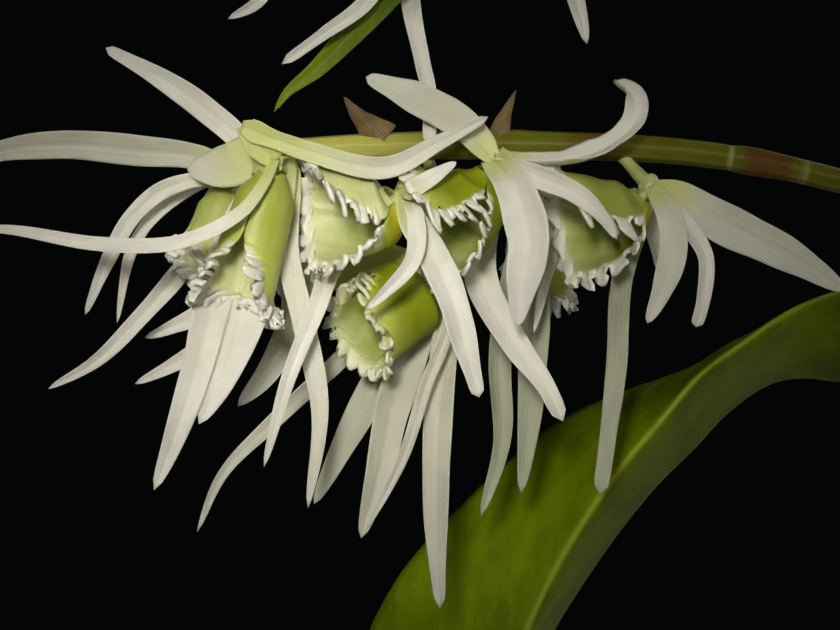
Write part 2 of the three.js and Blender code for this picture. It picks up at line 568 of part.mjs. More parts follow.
const frontBlooms = {
  a: {
    heart: [27.5, 16, -6],
    stalk: [[28.8, 15, -2.2], [28.3, 15.4, -4]],
    tepals: [
      tepal(
        1.5, [26.3, 18.5, -9], [24, 21.3, -10.5], [18, 24.2, -11], [10, 24.4, -10.5], [0, 22.9, -10],
        [-5, 23.5, -9],
      ),
      tepal(3.5, [26.8, 17, -3], [22.5, 26, -2.2], [19.7, 37, -3], [17.2, 44.5, -4], [15.4, 49, -4.5]),
      tepal(4.2, [28, 17, -2.8], [26, 27, -2], [22.8, 37, -2.6], [20, 42.4, -3]),
      tepal(2.6, [26, 14.2, -6.2], [24.2, 12.4, -6.4]),
      {
        ...tepal(
          2.2, [24.4, 12.8, -6.6], [31, 15.2, -8], [38.5, 16.8, -8.3], [44, 14.2, -7.8],
          [48.8, 11.7, -7.4],
        ),
        free: true,
      },
      tepal(2.3, [29.2, 17.2, -2], [28.8, 25, -1.6], [30.3, 32, -2.6], [32, 41, -3], [30.8, 50.8, -3]),
    ],
    lip: {
      path: sheet([26.8, 20, -6], [25, 27, -6], [23.2, 32.5, -6]),
      faces: [-0.15, -1, 0.1],
      spread: 1.12,
    },
  },
  b: {
    heart: [40.5, 19, -5],
    stalk: [[41.5, 15.6, -2], [41.2, 17, -4]],
    tepals: [
      tepal(1.8, [41.6, 22, -8.5], [41.3, 26, -10], [38.4, 29.4, -9.5], [36.7, 30.9, -9]),
      tepal(3.2, [42.5, 23.5, -7.2], [45, 29.2, -8], [46.8, 35.5, -8], [47.9, 39.7, -7.5]),
      tepal(
        2, [39.8, 20.4, -1.4], [37, 22.5, 1.4], [33.5, 26.4, 0.5], [31.6, 31, -5.5], [28.8, 38, -7.8],
        [26.4, 46.7, -7.5],
      ),
      tepal(1.8, [42.5, 17.8, -5], [45.4, 16.4, -5]),
      tepal(2.4, [38.8, 21.6, 3], [37.6, 22.8, 9], [36.5, 25, 16]),
    ],
    lip: {
      path: sheet([37.6, 21, -4.6], [34, 21.4, -4.6], [30.2, 19.6, -4.8]),
      faces: [-0.3, -1, -0.5],
      spread: 1.3,
    },
  },
  c: {
    heart: [49.5, 15.6, -5],
    stalk: [[50.6, 15, -2.1], [50.2, 15.3, -3.5]],
    tepals: [
      tepal(3.5, [46.5, 12.6, -4.8], [42, 10, -5.2], [36.6, 7.7, -5.5]),
      tepal(4.2, [51.3, 18.5, -8.6], [52.8, 24, -9.6], [52.2, 28.5, -9.2], [51.7, 32.6, -8.5]),
      tepal(
        2.8, [53, 16.2, -5.4], [56, 16.4, -6], [60, 15.3, -6.5], [63.2, 12.8, -6], [63.2, 9.7, -5],
        [60.8, 8.2, -4.5],
      ),
      tepal(2.2, [53.5, 17.6, -8.8], [57.5, 19.3, -10], [60, 21.4, -10], [61.7, 23.9, -9.5]),
      tepal(
        3.5, [49.2, 16.6, -2], [47.6, 21, 0.6], [47.4, 27, 0], [51.8, 34.8, -3.5], [54.5, 38.5, -4.5],
        [56.3, 42.1, -5],
      ),
    ],
    lip: {
      path: sheet([48.2, 19, -4.6], [46.8, 23.5, -4.2], [46.4, 28.6, -4]),
      faces: [-0.35, -1, 0],
      spread: 1.7,
    },
  },
  d: {
    heart: [65, 18.2, -4],
    stalk: [[66, 15.8, -1.9], [65.6, 16.6, -3]],
    tepals: [
      tepal(4.5, [67.5, 19.5, -3.5], [72, 22.4, -4], [79, 25.9, -4], [84.5, 29, -3.5]),
      tepal(2.8, [66.9, 21.5, -6.6], [67.3, 25, -7], [66.2, 29, -6.6], [64.7, 32.3, -6]),
      tepal(1.6, [68.6, 22.2, -5.6], [70.3, 26, -5.8], [69.8, 30, -5.5], [69.8, 32.7, -5]),
      tepal(2.2, [64.4, 21.5, 0], [62.2, 28, 1.6], [61.8, 37, 1], [60.1, 49.4, 0]),
      tepal(2.2, [65.2, 21, 1], [66, 25, 6], [66.5, 28, 13]),
    ],
    lip: {
      path: sheet([62, 19.6, -4], [58, 21.6, -4], [55, 23.4, -4]),
      faces: [-0.3, -0.8, -0.6],
      spread: 1.45,
    },
  },
  e: {
    heart: [43.2, 27.6, 3],
    stalk: [[43, 16.8, 1.2], [43.6, 19.5, 4], [43.6, 24, 4]],
    tepals: [
      tepal(3.8, [43, 29, 5.8], [41, 35.5, 5.6], [39.2, 41, 4.5], [38, 47, 3.5], [36.1, 53.8, 2]),
      tepal(1.4, [44.9, 29, 2.4], [44.6, 33.5, -0.4], [42.6, 38.5, -1], [40.4, 45.5, -1], [36.6, 53, -1]),
      tepal(3, [44.8, 29.4, 4.2], [44.3, 36, 2.4], [43.7, 44, 1.6], [43.6, 53, 1.3], [44, 60.8, 1]),
      tepal(3.3, [42.4, 29, 7], [36.4, 40, 8.2], [33.8, 45, 8], [32.2, 48.8, 7.5]),
      tepal(1.8, [41.4, 28.6, 8], [34, 36, 11], [27, 42.5, 9.5], [22.3, 47.4, 8], [19.7, 53.2, 6]),
    ],
    lip: {
      path: sheet([42.2, 30.4, 2.6], [40.8, 33.4, 2], [37.5, 35.3, 1.6], [34, 36.8, 1.4]),
      faces: [-0.4, -1, -0.2],
      spread: 1.15,
    },
  },
  f: {
    heart: [22.6, 18, 2],
    stalk: [[26.8, 16.6, 1], [24.8, 17.2, 1.5]],
    tepals: [
      tepal(3, [20, 15.8, 2.6], [14, 15.1, 3], [6, 14.4, 2.6], [-1, 15.4, 1.5], [-5, 17.5, 0]),
      tepal(2.1, [23.6, 15, 4.5], [22.5, 11.8, 5.6], [18, 8.6, 6.5], [10.6, 4.8, 7]),
      tepal(1.8, [19.5, 18, 0], [16, 19.2, -0.5], [13, 22, -0.5], [10.6, 26.5, 0], [8.5, 31.5, 1]),
      tepal(1.3, [20.2, 18.4, 3.9], [15.5, 21.5, 2.4], [13.2, 25, 2.2], [11.7, 32.3, 3]),
      tepal(
        2, [22.4, 18.8, 4.6], [21, 22.5, 5.4], [18.5, 26.6, 5.6], [14, 31.8, 5], [9.8, 36, 4.5],
        [4.8, 38.9, 3.5],
      ),
    ],
    lip: {
      path: sheet([21.6, 20.6, 1.6], [20.2, 24.5, 1.2], [19, 29, 1]),
      faces: [-0.4, -1, 0.2],
      spread: 1,
    },
  },
  g: {
    heart: [53.6, 19.4, 8],
    stalk: [[54, 15.2, 2.1], [54.2, 17, 5.5]],
    tepals: [
      tepal(3.2, [53.8, 22.5, 6.4], [53.6, 27.5, 6], [53.3, 34, 5.5], [53, 41, 4.5], [52.1, 49.3, 3.5]),
      tepal(2.5, [52.4, 22.5, 7.6], [51, 29, 8], [50, 36, 6.8], [50.2, 44, 5.6], [48.1, 51.6, 5]),
      tepal(1.3, [55.5, 23, 5.5], [54.4, 28.5, 1.2], [53.4, 33.3, -0.5]),
      tepal(2.4, [57.2, 19.8, 9.5], [60, 21.5, 16], [60.8, 25, 24]),
      tepal(2.4, [50, 19.6, 9.5], [47.6, 21.4, 16], [46.6, 25, 24]),
    ],
    lip: {
      path: sheet([53.6, 21.4, 12.2], [53.8, 25, 16], [54, 30, 18]),
      faces: [0, 1, 0.3],
      spread: 1.1,
    },
  },
  h: {
    heart: [26.4, 19.4, 10],
    stalk: [[30, 15.6, 2.2], [28, 17, 7]],
    tepals: [
      tepal(2.5, [25, 22.5, 9.6], [23.6, 27, 10.8], [20.5, 31, 11.2], [17, 32.8, 11.5], [14.5, 33.8, 11]),
      tepal(2.5, [26.2, 23, 11], [25.6, 28, 13], [22, 33.5, 14], [17.5, 36.4, 13.6], [13.5, 38.4, 13]),
      tepal(2.5, [27.8, 22.5, 10], [29.4, 27, 12.2], [30.4, 32, 13], [27.2, 37.8, 12.5], [24, 40.6, 11.5]),
      tepal(2.4, [29.9, 19.4, 11.5], [32, 20.6, 20], [32.5, 24, 27]),
      tepal(2.4, [23, 19.4, 11.5], [21, 20.6, 20], [19.8, 24.5, 26]),
    ],
    lip: {
      path: sheet([26.4, 20.4, 14.8], [26.4, 23, 19.5], [26.6, 27.5, 22.5]),
      faces: [0, 1, 0.3],
      spread: 1.1,
    },
  },
};

// The group above it on the second cane, whose tips reach down into the sheet
const upperBlooms = {
  upper_a: {
    heart: [34, -19.5, 8],
    stalk: [[34.6, -26.2, 9.3], [34.4, -23, 8.4]],
    tepals: [
      tepal(2.4, [31.4, -14.5, 9], [28.4, -5, 6], [25.8, 0.2, 5], [22.8, 1.9, 5]),
      tepal(2.2, [36.4, -16.4, 9], [37, -8, 8.2], [34.4, 0.8, 6.4], [31, 4.2, 5.8], [28.2, 6.6, 5.8]),
      tepal(2.6, [30, -19, 9], [25, -13, 10.5], [22, -6, 12]),
      tepal(2.4, [32.6, -17, 12.5], [31, -10, 17.5], [30, -2.5, 19]),
      tepal(2.6, [36.8, -18, 11.5], [39, -16, 17], [40, -10, 21]),
    ],
    lip: {
      path: sheet([33.8, -16.6, 5.6], [33.4, -12, 3], [32.8, -7.6, 2]),
      faces: [-0.3, -1, 0],
      spread: 1.1,
    },
  },
  upper_b: {
    heart: [43.5, -13, 8],
    stalk: [[46, -26.6, 9.6], [45, -20, 8.6]],
    tepals: [
      tepal(1.5, [42.2, -8, 8.4], [41.7, -1, 5], [42.6, 6, 0.6], [43.2, 10, -2.8], [42.7, 14.3, -3]),
      tepal(2.4, [47, -12.4, 11.5], [50, -9, 16], [51.5, -3, 18.5]),
      tepal(2.4, [44, -11, 12], [44.2, -6, 17], [44, -1.5, 21]),
      tepal(2.4, [40.6, -13, 11.5], [37.6, -10, 15.5], [36.4, -4, 17.5]),
      tepal(2.4, [46.6, -12, 6.6], [51, -9.4, 7], [52.6, -3, 9]),
    ],
    lip: {
      path: sheet([41.8, -12, 6], [39.6, -10.6, 4.4], [37.6, -9.8, 3.4]),
      faces: [0, -1, -0.5],
      spread: 1.1,
    },
  },
  upper_c: {
    heart: [55.6, -19, 9],
    stalk: [[56.4, -28.8, 9.8], [56, -24, 9.4]],
    tepals: [
      tepal(2.8, [56.8, -15, 10.6], [56.4, -6, 9.6], [58.7, 4.4, 8.5]),
      tepal(2.6, [59, -17.6, 9], [62.4, -12, 10.5], [64, -3, 12]),
      tepal(2.6, [56.4, -17, 13], [57.4, -12, 18], [57.6, -4, 21]),
      tepal(2.6, [52.6, -18.6, 12], [49.6, -15.4, 17], [49, -8, 22]),
      tepal(2.6, [58, -20, 5.8], [62, -17.4, 3], [66, -10.4, 3]),
    ],
    lip: {
      path: sheet([54.9, -17, 5.8], [54.4, -12.4, 3.4], [54, -8, 3]),
      faces: [-0.2, -1, 0],
      spread: 1.1,
    },
  },
};

// Two more hang from the cane that arches to the back. Side is how far the heart lies across the cane,
// and drop how far below it.
const hangingBlooms = {
  rear_a: { cane: "cane_6", share: 0.985, side: 3, drop: 7, axis: [-0.6, 0.1, -1], seed: 14 },
  rear_b: { cane: "cane_6", share: 0.89, side: -4, drop: 7, axis: [0.3, 0.5, -1], seed: 33 },
};

const group = new THREE.Group();

group.add(piece("pot", potSolid(), FINISH.clay));
group.add(piece("bark_bed", bedSolid(Object.values(canes).map(socketOf)), FINISH.bark));
for (const [name, cane] of Object.entries(canes)) {
  group.add(piece(name, cane.solid, FINISH.cane));
}
group.add(piece("leaf_1", makeFoldedLeaf(bigLeaf), FINISH.leaf));
group.add(piece("leaf_2", makeLeaf(tipLeaf), FINISH.leaf));
group.add(piece("leaf_3", makeLeaf(cornerLeaf), FINISH.leaf));
grownLeaves.forEach(([cane, share, angle, length, rise, width], k) => {
  const midrib = midribFrom(canes[cane], share, angle, length, rise);
  group.add(piece(`leaf_${k + 4}`, makeLeaf({ midrib, width }), FINISH.leaf));
});
for (const [name, traced] of Object.entries({ ...frontBlooms, ...upperBlooms })) {
  const heart = onSheet(traced.heart);
  const stalk = sheet(...traced.stalk);
  const { flower, lip } = makeBloom({ ...traced, heart, stalk, fine: name in frontBlooms });
  group.add(piece(`bloom_${name}`, flower, FINISH.tepal));
  group.add(piece(`lip_${name}`, lip, FINISH.lip));
}
for (const [name, { cane, share, side, drop, axis, seed }] of Object.entries(hangingBlooms)) {
  const { curve, radiusAt } = canes[cane];
  const root = curve.getPointAt(share);
  const cross = new THREE.Vector3().crossVectors(curve.getTangentAt(share), UP).normalize();
  const off = radiusAt(share) * CANE.swell + GAP;
  const heart = root.clone().addScaledVector(cross, side).addScaledVector(UP, -drop);
  const leave = heart.clone().sub(root).normalize();
  const stalk = [root.clone().addScaledVector(leave, off)];
  const { flower, lip } = hangingBloom({ heart, stalk, axis, seed });
  group.add(piece(`bloom_${name}`, flower, FINISH.tepal));
  group.add(piece(`lip_${name}`, lip, FINISH.lip));
}

export default group;
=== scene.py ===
"""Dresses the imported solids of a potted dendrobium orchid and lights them.

The blooms in front are laid out on an upright sheet: x runs right from its left edge, down from its top
edge, and back away from the eye. Shapes are worked out in millimetres as whole arrays, and become
metres when their mesh is made.
"""

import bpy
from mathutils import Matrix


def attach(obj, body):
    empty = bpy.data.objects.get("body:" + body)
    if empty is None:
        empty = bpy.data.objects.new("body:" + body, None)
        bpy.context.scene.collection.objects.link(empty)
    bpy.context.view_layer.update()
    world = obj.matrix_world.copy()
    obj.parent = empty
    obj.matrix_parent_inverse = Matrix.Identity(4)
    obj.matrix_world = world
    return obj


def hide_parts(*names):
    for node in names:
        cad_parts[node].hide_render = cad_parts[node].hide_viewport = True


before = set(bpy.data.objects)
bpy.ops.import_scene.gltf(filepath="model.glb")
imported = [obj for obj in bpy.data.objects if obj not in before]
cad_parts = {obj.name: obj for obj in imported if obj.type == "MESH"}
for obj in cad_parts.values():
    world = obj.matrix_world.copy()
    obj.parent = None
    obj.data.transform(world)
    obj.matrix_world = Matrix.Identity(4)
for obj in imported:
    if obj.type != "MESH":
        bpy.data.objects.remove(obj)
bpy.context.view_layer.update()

import logging
from dataclasses import dataclass
from enum import Enum
from typing import Any, Callable, Iterable, Sequence

import bpy
import numpy as np
from mathutils import Vector

Array = np.ndarray
Row = Sequence[float]
Rows = Sequence[Row]
Marks = dict[str, Array]
Material = bpy.types.Material

LOG = logging.getLogger("orchid")
METRES = 0.001
PER_METRE = 1000.0
GAP = 0.3
TOWARD_EYE = (0.0, -1.0, 0.0)
UP = np.array([0.0, 0.0, 1.0])

TEPAL_OUTLINE = ((0.12, 0.78), (0.25, 0.92), (0.45, 1), (0.7, 0.86), (0.9, 0.5), (1, 0.2))
LEAF_OUTLINE = ((0, 0.3), (0.12, 0.62), (0.35, 0.95), (0.55, 1), (0.8, 0.72), (0.94, 0.34), (1, 0.08))
LIP_OUTLINE = ((0, 1), (0.78, 1), (1.06, 0.74))
MARGIN_WAVES = ((1, 0.55, 1.2), (0.6, 1.3, -2.1), (0.3, 2.9, 3))
BRACT_OUTLINE = ((0, 1.1), (0.2, 0.86), (0.5, 0.55), (0.85, 0.2), (1, 0.06))


class Slot(Enum):
    """Names of material slots."""

    CLAY = "clay"
    BARK = "bark"
    CANE = "cane"
    LEAF = "leaf"
    TEPAL = "tepal"
    LIP = "lip"


# Curves and profiles


def unit(vectors: Array) -> Array:
    """Each vector divided by its length."""
    return vectors / np.maximum(np.linalg.norm(vectors, axis=-1, keepdims=True), 1e-9)


def smooth(value: Any, low: float, high: float) -> Any:
    """Runs from 0 at low to 1 at high as 3t squared less 2t cubed."""
    share = np.clip((value - low) / (high - low), 0, 1)
    return share * share * (3 - 2 * share)


def bump(value: Any, centre: float, width: float) -> Any:
    """A bell: e to the power of less the squared distance from centre in widths."""
    return np.exp(-(((value - centre) / width) ** 2))


def around(sides: int, start: float = 0.5) -> Array:
    """Angles in equal steps round a full turn, the first of them start steps in."""
    return 2 * np.pi * (np.arange(sides) + start) / sides


def each_row(values: Array, columns: int) -> Array:
    """A grid that holds one value a row."""
    return np.repeat(values[:, None], columns, axis=1)


def each_column(values: Array, rows: int) -> Array:
    """A grid that holds one value a column."""
    return np.repeat(values[None], rows, axis=0)


def read(table: Array, at: Array, want: Array) -> Array:
    """Each column of a table, whose rows stand at places, read at the places that are wanted."""
    return np.stack([np.interp(want, at, column) for column in table.T], axis=1)


def spline(points: Array, share: Array) -> Array:
    """Runs a centripetal Catmull-Rom curve through the points.

    Each span is a cubic whose end slopes weigh the neighbouring chords by the roots of their lengths.

    Args:
        points: The points that it passes, one a row.
        share: Places from 0 to 1, counted in spans.

    Returns:
        One place a row.
    """
    ends = np.vstack([2 * points[0] - points[1], points, 2 * points[-1] - points[-2]])
    spans = len(points) - 1
    place = np.clip(share, 0, 1) * spans
    first = np.minimum(place.astype(int), spans - 1)
    w = (place - first)[:, None]
    x0, x1, x2, x3 = (ends[first + j] for j in range(4))
    d0, d1, d2 = (
        np.sqrt(np.linalg.norm(b - a, axis=1))[:, None] for a, b in ((x0, x1), (x1, x2), (x2, x3))
    )
    m1 = ((x1 - x0) / d0 - (x2 - x0) / (d0 + d1) + (x2 - x1) / d1) * d1
    m2 = ((x2 - x1) / d1 - (x3 - x1) / (d1 + d2) + (x3 - x2) / d2) * d1
    return x1 + w * m1 + w**2 * (3 * (x2 - x1) - 2 * m1 - m2) + w**3 * (2 * (x1 - x2) + m1 + m2)


def profile(stops: Rows, share: Array) -> Array:
    """Straight lines between the stops of a profile, with their corners rounded.

    Args:
        stops: Pairs of place and value.
        share: Places from 0 to 1.

    Returns:
        The mean of the lines just before, at and just after each place.
    """
    places, values = np.array(stops, float).T
    return sum(np.interp(share + shift, places, values) for shift in (-0.04, -0.02, 0, 0.02, 0.04)) / 5


@dataclass(frozen=True)
class Path:
    """A smooth curve through points, read by shares of its length."""

    points: Array
    steps: int = 60
    reach: float = 0.01

    def _dense(self) -> tuple[Array, Array]:
        """Works out the curve once.

        Returns:
            Close places on it, and the length run at each.
        """
        share = np.linspace(0, 1, self.steps * len(self.points))
        places = spline(np.asarray(self.points, float), share)
        steps = np.linalg.norm(np.diff(places, axis=0), axis=1)
        return places, np.concatenate([[0], np.cumsum(steps)])

    def length(self) -> float:
        """The curve's whole length."""
        return float(self._dense()[1][-1])

    def at(self, share: Any) -> Array:
        """Places at shares of the length, one a row."""
        places, run = self._dense()
        want = np.atleast_1d(np.asarray(share, float)) * run[-1]
        return read(places, run, want)

    def along(self, share: Any) -> Array:
        """Unit directions at shares of the length, from the places a little before and after."""
        share = np.atleast_1d(np.asarray(share, float))
        after, before = np.clip(share + self.reach, 0, 1), np.clip(share - self.reach, 0, 1)
        return unit(self.at(after) - self.at(before))

    def axes(self, share: Array, faces: Row | None = None) -> tuple[Array, Array]:
        """Axes square to the curve: across it, and out of its face.

        Args:
            share: Shares of the length.
            faces: What the face looks toward. Left out, it is the direction that the curve runs least in.

        Returns:
            Across as along times faces, and out as across times along.
        """
        along = self.along(share)
        if faces is None:
            faces = np.linalg.svd(along)[2][-1]
        across = unit(np.cross(along, np.asarray(faces, float)))
        return across, unit(np.cross(across, along))


@dataclass(frozen=True)
class Sheet:
    """The upright sheet that the front group is laid out on, and the eye straight in front of it."""

    left: float = -160.0
    top: float = 340.0
    y: float = -25.0
    width: float = 84.0
    height: float = 63.0
    eye: float = 315.0

    def place(self, rows: Rows) -> Array:
        """Spreads places from the sheet's middle in proportion to how far they are from the eye.

        Args:
            rows: Right, down and back in millimetres, one place a row.

        Returns:
            The places in the plant's own frame.
        """
        x, down, back = np.array(rows, float).T
        spread = 1 + back / self.eye
        right = self.left + self.width / 2 + (x - self.width / 2) * spread
        height = self.top - self.height / 2 - (down - self.height / 2) * spread
        return np.stack([right, self.y + back, height], axis=1)


SHEET = Sheet()


# Skins: closed bodies of quads


@dataclass
class Skin:
    """A closed body of quads in millimetres, with the marks that its finish reads at each point."""

    points: Array
    quads: Array
    marks: Marks
    finish: int

    def outward(self) -> "Skin":
        """Turns the quads so that the volume inside, a sum of triple products, comes out positive.

        Returns:
            The same body.
        """
        a, b, c, d = (self.points[self.quads[:, k]] for k in range(4))
        volume = np.sum(np.cross(a, b) * c) + np.sum(np.cross(a, c) * d)
        if volume < 0:
            self.quads = self.quads[:, ::-1]
        return self


def closed(grid: Array, quads: Array, marks: Marks | None = None, finish: int = 0) -> Skin:
    """A body from a grid of points of any shape, their marks in the same shape, and its quads."""
    flat = {name: value.reshape(-1) for name, value in (marks or {}).items()}
    return Skin(grid.reshape(-1, 3), quads.reshape(-1, 4), flat, finish).outward()


def tube(rings: Array, marks: Marks | None = None, finish: int = 0, loop: bool = False) -> Skin:
    """Skins rings of points: quads between neighbours, and a ladder of quads over each end.

    Args:
        rings: Rings by points by 3. The second half of each ring mirrors its first half.
        marks: Values by name, one a point.
        finish: Its finish, by number.
        loop: Whether the last ring joins the first, as on a wall round a bore, and the ends stay open.

    Returns:
        The closed body.
    """
    count, size = rings.shape[:2]
    ring, k = np.arange(count if loop else count - 1)[:, None] * size, np.arange(size)[None, :]
    a, b = ring + k, ring + (k + 1) % size
    sides = np.stack([a, b, b + size, a + size], axis=-1).reshape(-1, 4) % (count * size)
    rung = np.arange(size // 2 - 1)
    first = np.stack([rung, size - 1 - rung, size - 2 - rung, rung + 1], axis=-1)
    ends = [] if loop else [first, first[:, ::-1] + (count - 1) * size]
    return closed(rings, np.vstack([sides, *ends]), marks, finish)


def spokes(across: Array, out: Array, angle: Array) -> Array:
    """Unit directions round a path: across by the cosine of each angle plus out by its sine."""
    return across * np.cos(angle)[None, :, None] + out * np.sin(angle)[None, :, None]


def turned(wide: Array, height: Array, angle: Array) -> Array:
    """Rings of a turned body: its width by the cosine and the sine of each angle, at each height."""
    level = each_row(height, len(angle))
    return np.stack([wide * np.cos(angle), wide * np.sin(angle), level], axis=-1)


def globe(rows: int, sides: int, gap: float) -> Array:
    """Rings of a unit sphere, from a gap off one pole to the same gap off the other, in radians."""
    polar, angle = np.linspace(gap, np.pi - gap, rows)[:, None], around(sides)[None]
    return np.stack(
        [np.sin(polar) * np.cos(angle), np.sin(polar) * np.sin(angle), np.cos(polar) + 0 * angle], -1
    )


def stem(path: Path, radius: Array, sides: int = 12, finish: int = 0, **marks: Array) -> Skin:
    """Carries a round of changing radius along a path.

    Each point is the path's place plus its radius times the across and out axes, by cosine and sine.

    Args:
        path: The middle line.
        radius: One radius a ring, or one a ring and side.
        sides: Points in a ring.
        finish: Its finish, by number.
        marks: One value a ring for each name.

    Returns:
        The closed body, marked with along from 0 to 1 and across round it from -1 to 1.
    """
    rows = len(radius)
    share = np.linspace(0, 1, rows)
    across, out = path.axes(share)
    angle = around(sides)
    spoke = spokes(across[:, None], out[:, None], angle)
    wide = radius[:, None, None] if radius.ndim == 1 else radius[..., None]
    rings = path.at(share)[:, None] + spoke * wide
    spread = {name: each_row(value, sides) for name, value in marks.items()}
    spread |= {"along": each_row(share, sides), "across": each_column(angle / np.pi - 1, rows)}
    return tube(rings, spread, finish)


def sheet_skin(middle: Array, normal: Array, thick: Array, finish: int = 0, **marks: Array) -> Skin:
    """Gives a grid of places a thickness: half of it on each side along the normal.

    Args:
        middle: Rows by columns by 3.
        normal: Unit directions, in the same grid.
        thick: Thickness in the same grid.
        finish: Its finish, by number.
        marks: Values in the same grid for each name.

    Returns:
        The closed body, with face at 1 on the side that the normal points to and -1 on the other.
    """
    half = thick[..., None] / 2
    rings = np.concatenate([middle + normal * half, (middle - normal * half)[:, ::-1]], axis=1)
    both = {name: np.concatenate([value, value[:, ::-1]], axis=1) for name, value in marks.items()}
    ones = np.ones(middle.shape[:2])
    both["face"] = np.concatenate([ones, -ones], axis=1)
    return tube(rings, both, finish)


def grid_normals(middle: Array) -> Array:
    """Unit normals of a grid of places, as its slope down the rows times its slope along the columns."""
    return unit(np.cross(np.gradient(middle, axis=0), np.gradient(middle, axis=1)))


def ball(centre: Array, axes: Array, rows: int, sides: int, finish: int = 0, **marks: float) -> Skin:
    """A stretched sphere: centre plus the three axes by the sphere's own coordinates.

    Args:
        centre: Its middle.
        axes: Three half axes, one a row. Its poles lie on the last.
        rows: Rings from pole to pole.
        sides: Points in a ring.
        finish: Its finish, by number.
        marks: One value for each name.

    Returns:
        The closed body.
    """
    full = {name: np.full((rows, sides), value) for name, value in marks.items()}
    full["along"] = each_row(np.linspace(0, 1, rows), sides)
    return tube(centre + globe(rows, sides, 0.06) @ axes, full, finish)


MARKS = ("along", "across", "face", "green", "edge", "tone")


def make_piece(name: str, skins: Iterable[Skin], finishes: Sequence[Material], slot: Slot,
               stands_for: Sequence[str] = ()) -> bpy.types.Object:
    """Joins skins into one object, in metres at the origin, which rides on the plant.

    Args:
        name: The object's name.
        skins: Closed bodies in millimetres.
        finishes: The materials, in the order that the skins count them.
        slot: Not used.
        stands_for: The solids that it is shown for.

    Returns:
        The finished object.
    """
    skins = list(skins)
    starts = np.cumsum([0] + [len(skin.points) for skin in skins[:-1]])
    points = np.concatenate([skin.points for skin in skins]) * METRES
    quads = np.concatenate([skin.quads + start for skin, start in zip(skins, starts)])
    mesh = bpy.data.meshes.new(name)
    mesh.from_pydata(points.tolist(), [], quads.tolist())
    for material in finishes:
        mesh.materials.append(material)
    worn = np.concatenate([np.full(len(skin.quads), skin.finish) for skin in skins])
    mesh.polygons.foreach_set("material_index", worn.astype(np.int32))
    mesh.polygons.foreach_set("use_smooth", np.ones(len(quads), bool))
    for mark in MARKS:
        values = [skin.marks.get(mark, np.zeros(len(skin.points))) for skin in skins]
        layer = mesh.attributes.new(mark, "FLOAT", "POINT")
        layer.data.foreach_set("value", np.concatenate(values).astype(np.float32))
    mesh.update()
    piece = bpy.data.objects.new(name, mesh)
    bpy.context.scene.collection.objects.link(piece)
    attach(piece, "root")
    if stands_for:
        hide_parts(*stands_for)
    LOG.info("%s: %d quads for %s", name, len(quads), ", ".join(stands_for) or "no solid")
    return piece


# Shader arithmetic


def operator(operation: str, swapped: bool = False) -> Callable[["Wire", Any], "Wire"]:
    """A Math node as one of Python's operators on wires.

    Args:
        operation: What the node does with its two values.
        swapped: Whether the wire is the second of them, as in 1 - mask.

    Returns:
        The method.
    """

    def apply(wire: "Wire", other: Any) -> "Wire":
        """The node's result for the wire and the other value."""
        return wire.math(operation, *((other, wire) if swapped else (wire, other)))

    return apply


@dataclass(frozen=True)
class Wire:
    """A shader socket in an expression. Each operator adds one Math node."""

    shader: "Shader"
    socket: bpy.types.NodeSocket

    def math(self, operation: str, *values: Any) -> "Wire":
        """The first output of a Math node that is fed with the values."""
        made = self.shader.node("Math", {"operation": operation}, dict(enumerate(values)))
        return Wire(self.shader, made.outputs[0])

    __add__, __radd__ = operator("ADD"), operator("ADD", swapped=True)
    __sub__, __rsub__ = operator("SUBTRACT"), operator("SUBTRACT", swapped=True)
    __mul__, __rmul__ = operator("MULTIPLY"), operator("MULTIPLY", swapped=True)
    __pow__, __rpow__ = operator("POWER"), operator("POWER", swapped=True)

    def sine(self) -> "Wire":
        """The sine of this, in radians."""
        return self.math("SINE", self)

    def size(self) -> "Wire":
        """This without its sign."""
        return self.math("ABSOLUTE", self)

    def step(self, low: float, high: float) -> "Wire":
        """Smoothly from 0 at low to 1 at high."""
        inputs = {"Value": self, "From Min": low, "From Max": high}
        made = self.shader.node("MapRange", {"interpolation_type": "SMOOTHSTEP"}, inputs)
        return Wire(self.shader, made.outputs["Result"])


Colour = tuple[float, float, float]


@dataclass(frozen=True)
class Glow:
    """How light soaks in: its share, its reach in red, green and blue, and their scale in metres."""

    weight: float
    radius: Colour
    scale: float = 0.001


